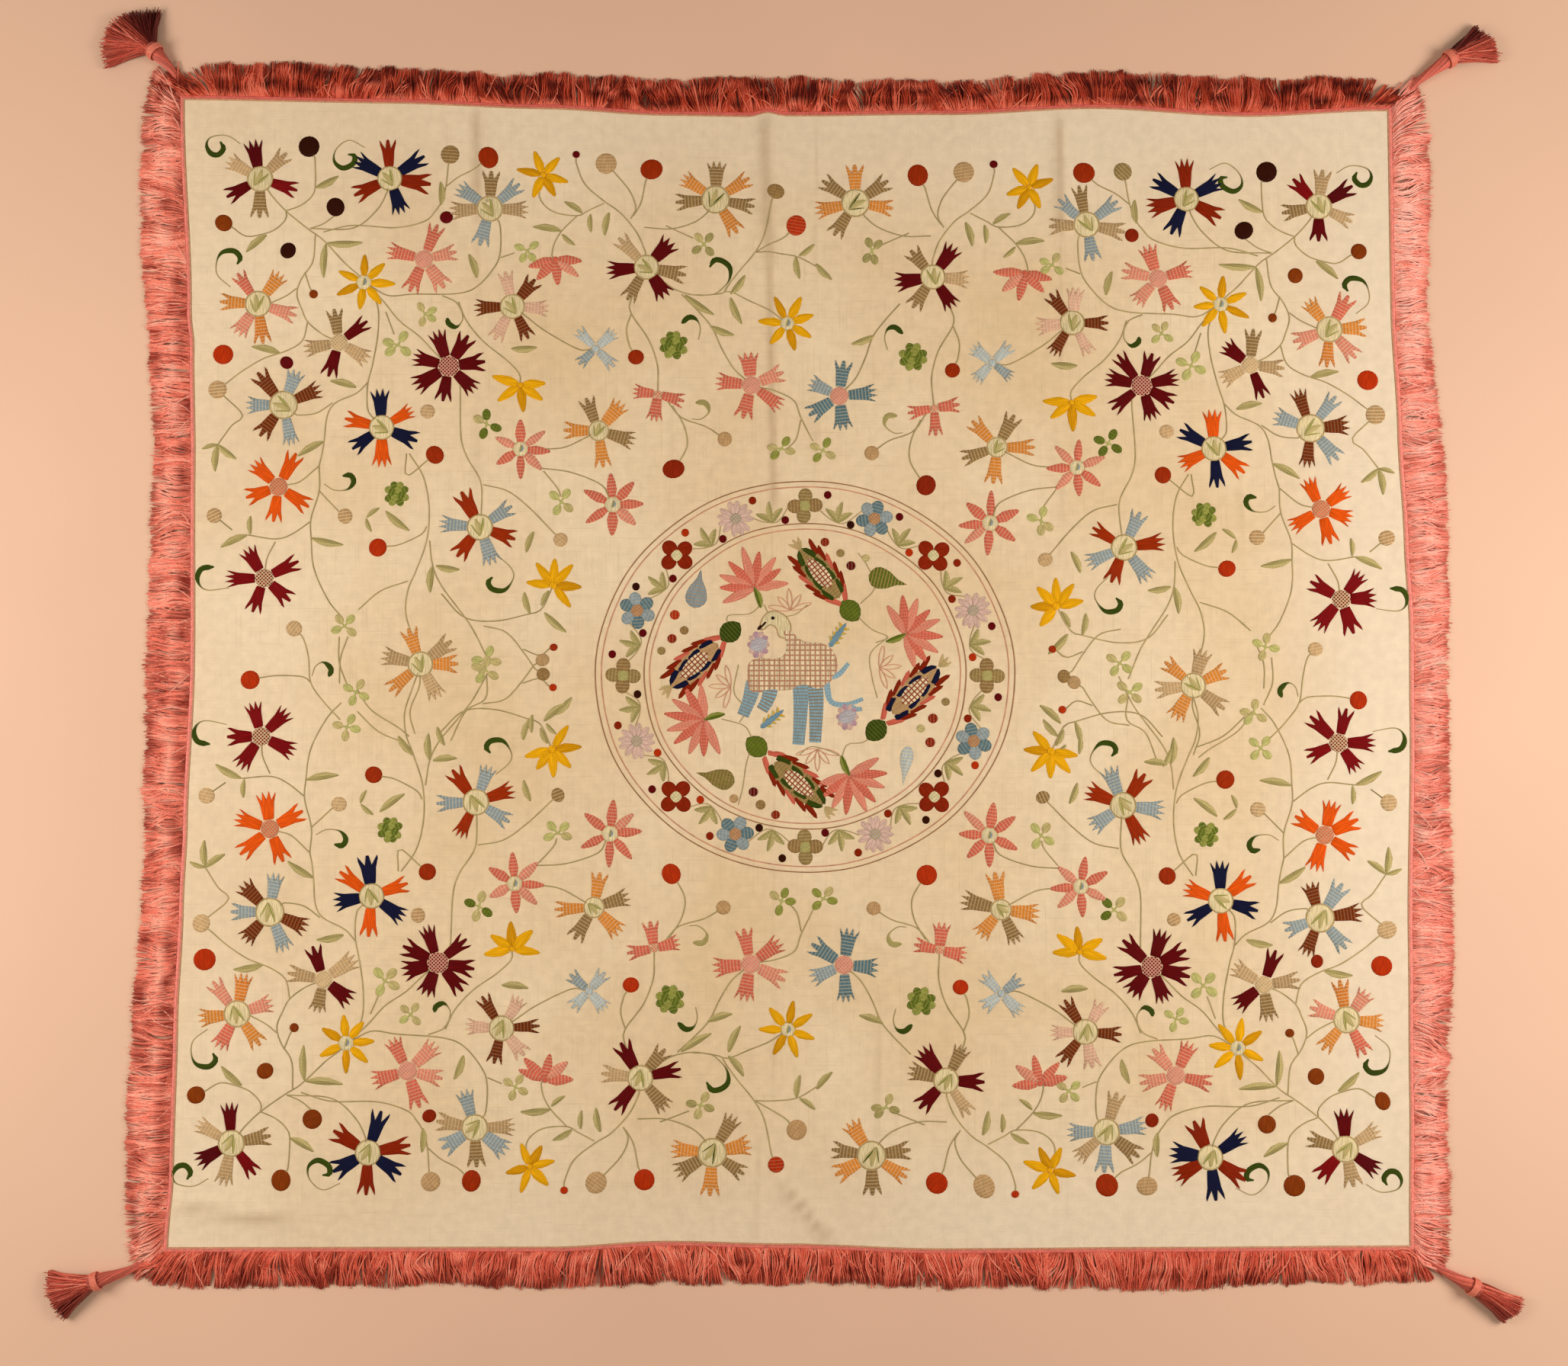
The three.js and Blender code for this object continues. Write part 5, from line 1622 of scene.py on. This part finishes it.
tassel = {
    "neck": [[0, 3.5], [0.25, 4], [0.45, 5.5], [0.65, 7.5], [0.85, 10], [1, 13]], "neckRings": 12,
    "neckYarns": 26, "twist": 0.9, "bandRadius": 15.4, "bandWraps": 5, "wrapRadius": 1.35, "bandHeight": 16,
    "neckSides": 12, "yarnSides": 5, "yarnShare": 0.17,
    "skirtStrands": 860, "skirtRings": 6, "strandRadius": 1.0, "thickness": (1, 1.1, 1.1, 1.1, 1, 0.8),
    "skirtDepth": 12.5, "headLength": 12, "fanStart": 8, "pile": 17, "fanJitter": 0.16, "lengthJitter": 0.05,
    "shadeFrom": 0.42, "shadeWidth": 0.4, "sway": 1.6, "bandSegments": (30, 8), "bandPacking": 0.86,
    # dark and light: the skirt's painted shade and painted highlight, round its mid colour
    "dark": (96, 20, 12), "mid": (210, 92, 70), "light": (244, 150, 124), "neckTone": (198, 92, 72),
    "bandTone": (222, 122, 96),
}


def tasselLine(row):
    tip = mitrePoint(row["side"], fringe["gap"] + fringe["headingWidth"])
    root, band = np.array(row["root"], float), np.array(row["band"], float)
    heading = unit(unit(band - root) + turnVector(sum(row["fan"]) / 2, 1))
    path = smoothPath([tip + unit(root - tip) * fringe["gap"], root, band], 3)
    return path, band, heading


def neckParts(path, band, heading):
    # Core and twisted yarns of the neck, rising from the floor to the band
    t = np.linspace(0, 1, tassel["neckRings"])
    total = np.linspace(0, 1, len(path))
    line = np.column_stack([np.interp(t, total, path[:, k]) for k in range(2)])
    line = np.vstack([line, band + heading * tassel["headLength"]])
    t = np.append(t, 1.0)
    radius = readTable(tassel["neck"], t)
    height = radius + (tassel["bandHeight"] - tassel["neck"][-1][1]) * smooth(t)
    axis = np.column_stack([line, height])
    dark = np.tile(toLinear(tassel["dark"]), (1, len(t), 1))
    core = strandMesh(axis[None], radius[None] * 0.9, dark, tassel["neckSides"])
    yarns = tassel["neckYarns"]
    across, upward = crossAxes(axis)
    angle = (np.arange(yarns) / yarns)[:, None] * 2 * math.pi + tassel["twist"] * t[None] * math.pi
    ring = across[None] * np.cos(angle)[..., None] + upward[None] * np.sin(angle)[..., None]
    centres = axis[None] + ring * (radius * 0.92)[None, :, None]
    centres[..., 2] = np.maximum(centres[..., 2], 0.6)
    thick = np.tile(radius * tassel["yarnShare"], (yarns, 1))
    tones = toLinear(tassel["neckTone"]) * (0.55 + 0.75 * rng.random((yarns, 1, 1)))
    return [core, strandMesh(centres, thick, np.repeat(tones, len(t), axis=1), tassel["yarnSides"])]


def skirtPart(row, band, heading):
    count, rings = tassel["skirtStrands"], tassel["skirtRings"]
    t = np.linspace(0, 1, rings)
    around = rng.random(count) * 2 * math.pi
    depth = np.sqrt(rng.random(count)) * tassel["skirtDepth"]
    sideways, up = np.cos(around) * depth, np.sin(around) * depth
    start = band + heading * (tassel["headLength"] - 6) + leftOf(heading) * sideways[:, None]
    low, high = row["fan"]
    part = 0.5 + 0.5 * sideways / tassel["skirtDepth"] + tassel["fanJitter"] * rng.normal(size=count)
    part = np.clip(part, 0, 1)
    direction = np.radians(low + (high - low) * part)
    aim = np.column_stack([np.cos(direction), np.sin(direction)])
    toShadedEnd = abs(part - 1 + row["dark"])
    shadedSide = smooth(np.clip((toShadedEnd - tassel["shadeFrom"]) / tassel["shadeWidth"], 0, 1))
    length = row["length"] * (0.97 + tassel["lengthJitter"] * rng.normal(size=count))
    length = length * (1 - row["short"] * shadedSide)
    end = band + heading * tassel["fanStart"] + aim * length[:, None]
    bend = smooth(t)[None, :, None]
    early = start[:, None] + heading * (length * 0.3)[:, None, None] * t[None, :, None]
    straight = start[:, None] + (end - start)[:, None] * t[None, :, None]
    flat = early * (1 - bend) + straight * bend
    upper = 0.5 + 0.5 * up / tassel["skirtDepth"]
    pile = np.clip(upper + 0.12 * rng.normal(size=count), 0, 1) * (0.55 + 0.45 * rng.random(count))
    tipHeight = (1.2 + tassel["pile"] * pile)[:, None]
    rootHeight = (tassel["bandHeight"] + up)[:, None]
    bulge = (2 + 3 * upper)[:, None] * np.sin(np.pi * t)
    height = rootHeight * (1 - t) ** 1.2 + tipHeight * (1 - (1 - t) ** 1.2) + bulge
    height = np.maximum(height, 1.0)
    sway = (tassel["sway"] * rng.normal(size=count))[:, None] * np.sin(np.pi * 1.3 * t)
    flat = flat + leftOf(aim)[:, None] * sway[:, :, None]
    centres = np.concatenate([flat, height[:, :, None]], axis=2)
    radii = np.tile(tassel["strandRadius"] * np.array(tassel["thickness"]), (count, 1))
    dark, mid, light = (toLinear(tassel[key]) for key in ("dark", "mid", "light"))
    # Painted light and shade: upper strands lighter, the shaded end of the fan darker, painted highlights on
    # a few upper strands
    paintedLightLevel = np.clip(0.5 * upper + 0.6 * rng.random(count) - row["shade"] * shadedSide, 0, 1)[:, None]
    tone = dark + (mid - dark) * paintedLightLevel
    paintedHighlight = (rng.random(count) < 0.3 * upper * (1 - shadedSide))[:, None]
    tone = np.where(paintedHighlight, mid + (light - mid) * rng.random((count, 1)), tone)
    return strandMesh(centres, radii, np.repeat(tone[:, None], rings, axis=1))


def makeTassel(row):
    path, band, heading = tasselLine(row)
    parts = [*neckParts(path, band, heading), skirtPart(row, band, heading)]
    obj = joinMeshes("tassel_" + row["name"] + "_yarn", parts)
    finishPiece(obj, tasselYarn, 70, ["tassel_" + row["name"]])
    makeBand(row, band, heading)


def makeBand(row, band, heading):
    # Wrapped band: turns of cord side by side round the neck
    deselectAll()
    wraps, segments = [], tassel["bandSegments"]
    pitch = 2 * tassel["wrapRadius"] * tassel["bandPacking"]
    for k in range(tassel["bandWraps"]):
        bpy.ops.mesh.primitive_torus_add(
            major_segments=segments[0], minor_segments=segments[1], major_radius=tassel["bandRadius"],
            minor_radius=tassel["wrapRadius"], rotation=(0, math.pi / 2, 0))
        wrap = bpy.context.object
        wrap.location.x = (k - (tassel["bandWraps"] - 1) / 2) * pitch
        wraps.append(wrap)
    for wrap in wraps:
        wrap.select_set(True)
    bpy.ops.object.join()
    obj = bpy.context.object
    obj.name = "tassel_band_" + row["name"] + "_wraps"
    bpy.ops.object.transform_apply(location=True, rotation=True, scale=True)
    points = readPoints(obj.data)
    wave = 1 + 0.012 * np.sin(np.arctan2(points[:, 2], points[:, 1]) * 9)
    points[:, 1:] *= wave[:, None]
    flat = band + heading * points[:, :1] + leftOf(heading) * points[:, 1:2] + shift
    height = np.maximum(points[:, 2] + tassel["bandHeight"] + 0.8, 0.2)
    writePoints(obj.data, np.column_stack([flat, height]) * mm)
    tones = toLinear(tassel["bandTone"]) * (0.92 + 0.16 * rng.random((len(points), 1)))
    addColour(obj.data, "tone", tones, "POINT")
    finishPiece(obj, bandYarn, 70, ["tassel_band_" + row["name"]])


tasselYarn = yarnMaterial("tassel yarn", yarnLook["fringe"])
bandYarn = yarnMaterial("band cord", yarnLook["band"])
for tasselRow in tassels:
    makeTassel(tasselRow)

# Floor, light and camera
studio = {
    "floorSize": 9.0, "floorDrop": 0.0006, "floorColour": (224, 182, 152), "lightAt": (2.6, -0.1, 2.0),
    "lightAim": 0.8, "lightSize": 1.5, "leftPower": 53.0, "rightPower": 63.0, "fill": 0.36,
    "sideColour": (1.0, 0.95, 0.92), "fillColour": (1.0, 0.92, 0.82),
}
camera = {"distance": 3500.0, "tilt": 3.1, "aim": (-7.0, -12.0), "mmPerPixel": 1.374, "frameWidth": 2057}


def addStudio():
    deselectAll()
    bpy.ops.mesh.primitive_plane_add(size=studio["floorSize"], location=(0, 0, -studio["floorDrop"]))
    floor = bpy.context.object
    floor.name = "floor"
    bpy.ops.object.transform_apply(location=True, rotation=True, scale=True)
    floor.data.materials.append(floorMaterial())
    x, y, z = studio["lightAt"]
    for sign in (-1, 1):
        data = bpy.data.lights.new("soft light", "AREA")
        data.shape = "DISK"
        data.size = studio["lightSize"]
        data.energy = studio["leftPower"] if sign < 0 else studio["rightPower"]
        data.color = studio["sideColour"]
        light = bpy.data.objects.new("soft light", data)
        light.location = (sign * x, y, z)
        light.rotation_euler = (0, sign * math.atan2(x * studio["lightAim"], z), 0)
        bpy.context.collection.objects.link(light)
    world = bpy.data.worlds.new("studio")
    world.use_nodes = True
    back = world.node_tree.nodes["Background"]
    back.inputs["Color"].default_value = (*studio["fillColour"], 1)
    back.inputs["Strength"].default_value = studio["fill"]
    bpy.context.scene.world = world
    bpy.context.scene.view_settings.view_transform = "Standard"


def addCamera():
    data = bpy.data.cameras.new("camera")
    data.sensor_width = 36
    data.lens = 36 * camera["distance"] / camera["mmPerPixel"] / camera["frameWidth"]
    data.clip_end = 50
    obj = bpy.data.objects.new("camera", data)
    tilt = math.radians(camera["tilt"])
    x, y = np.array(camera["aim"]) + shift
    back = camera["distance"]
    obj.location = (x * mm, (y - back * math.sin(tilt)) * mm, back * math.cos(tilt) * mm)
    obj.rotation_euler = (tilt, 0, 0)
    bpy.context.collection.objects.link(obj)
    bpy.context.scene.camera = obj


addStudio()
addCamera()

print("bedspread finished")
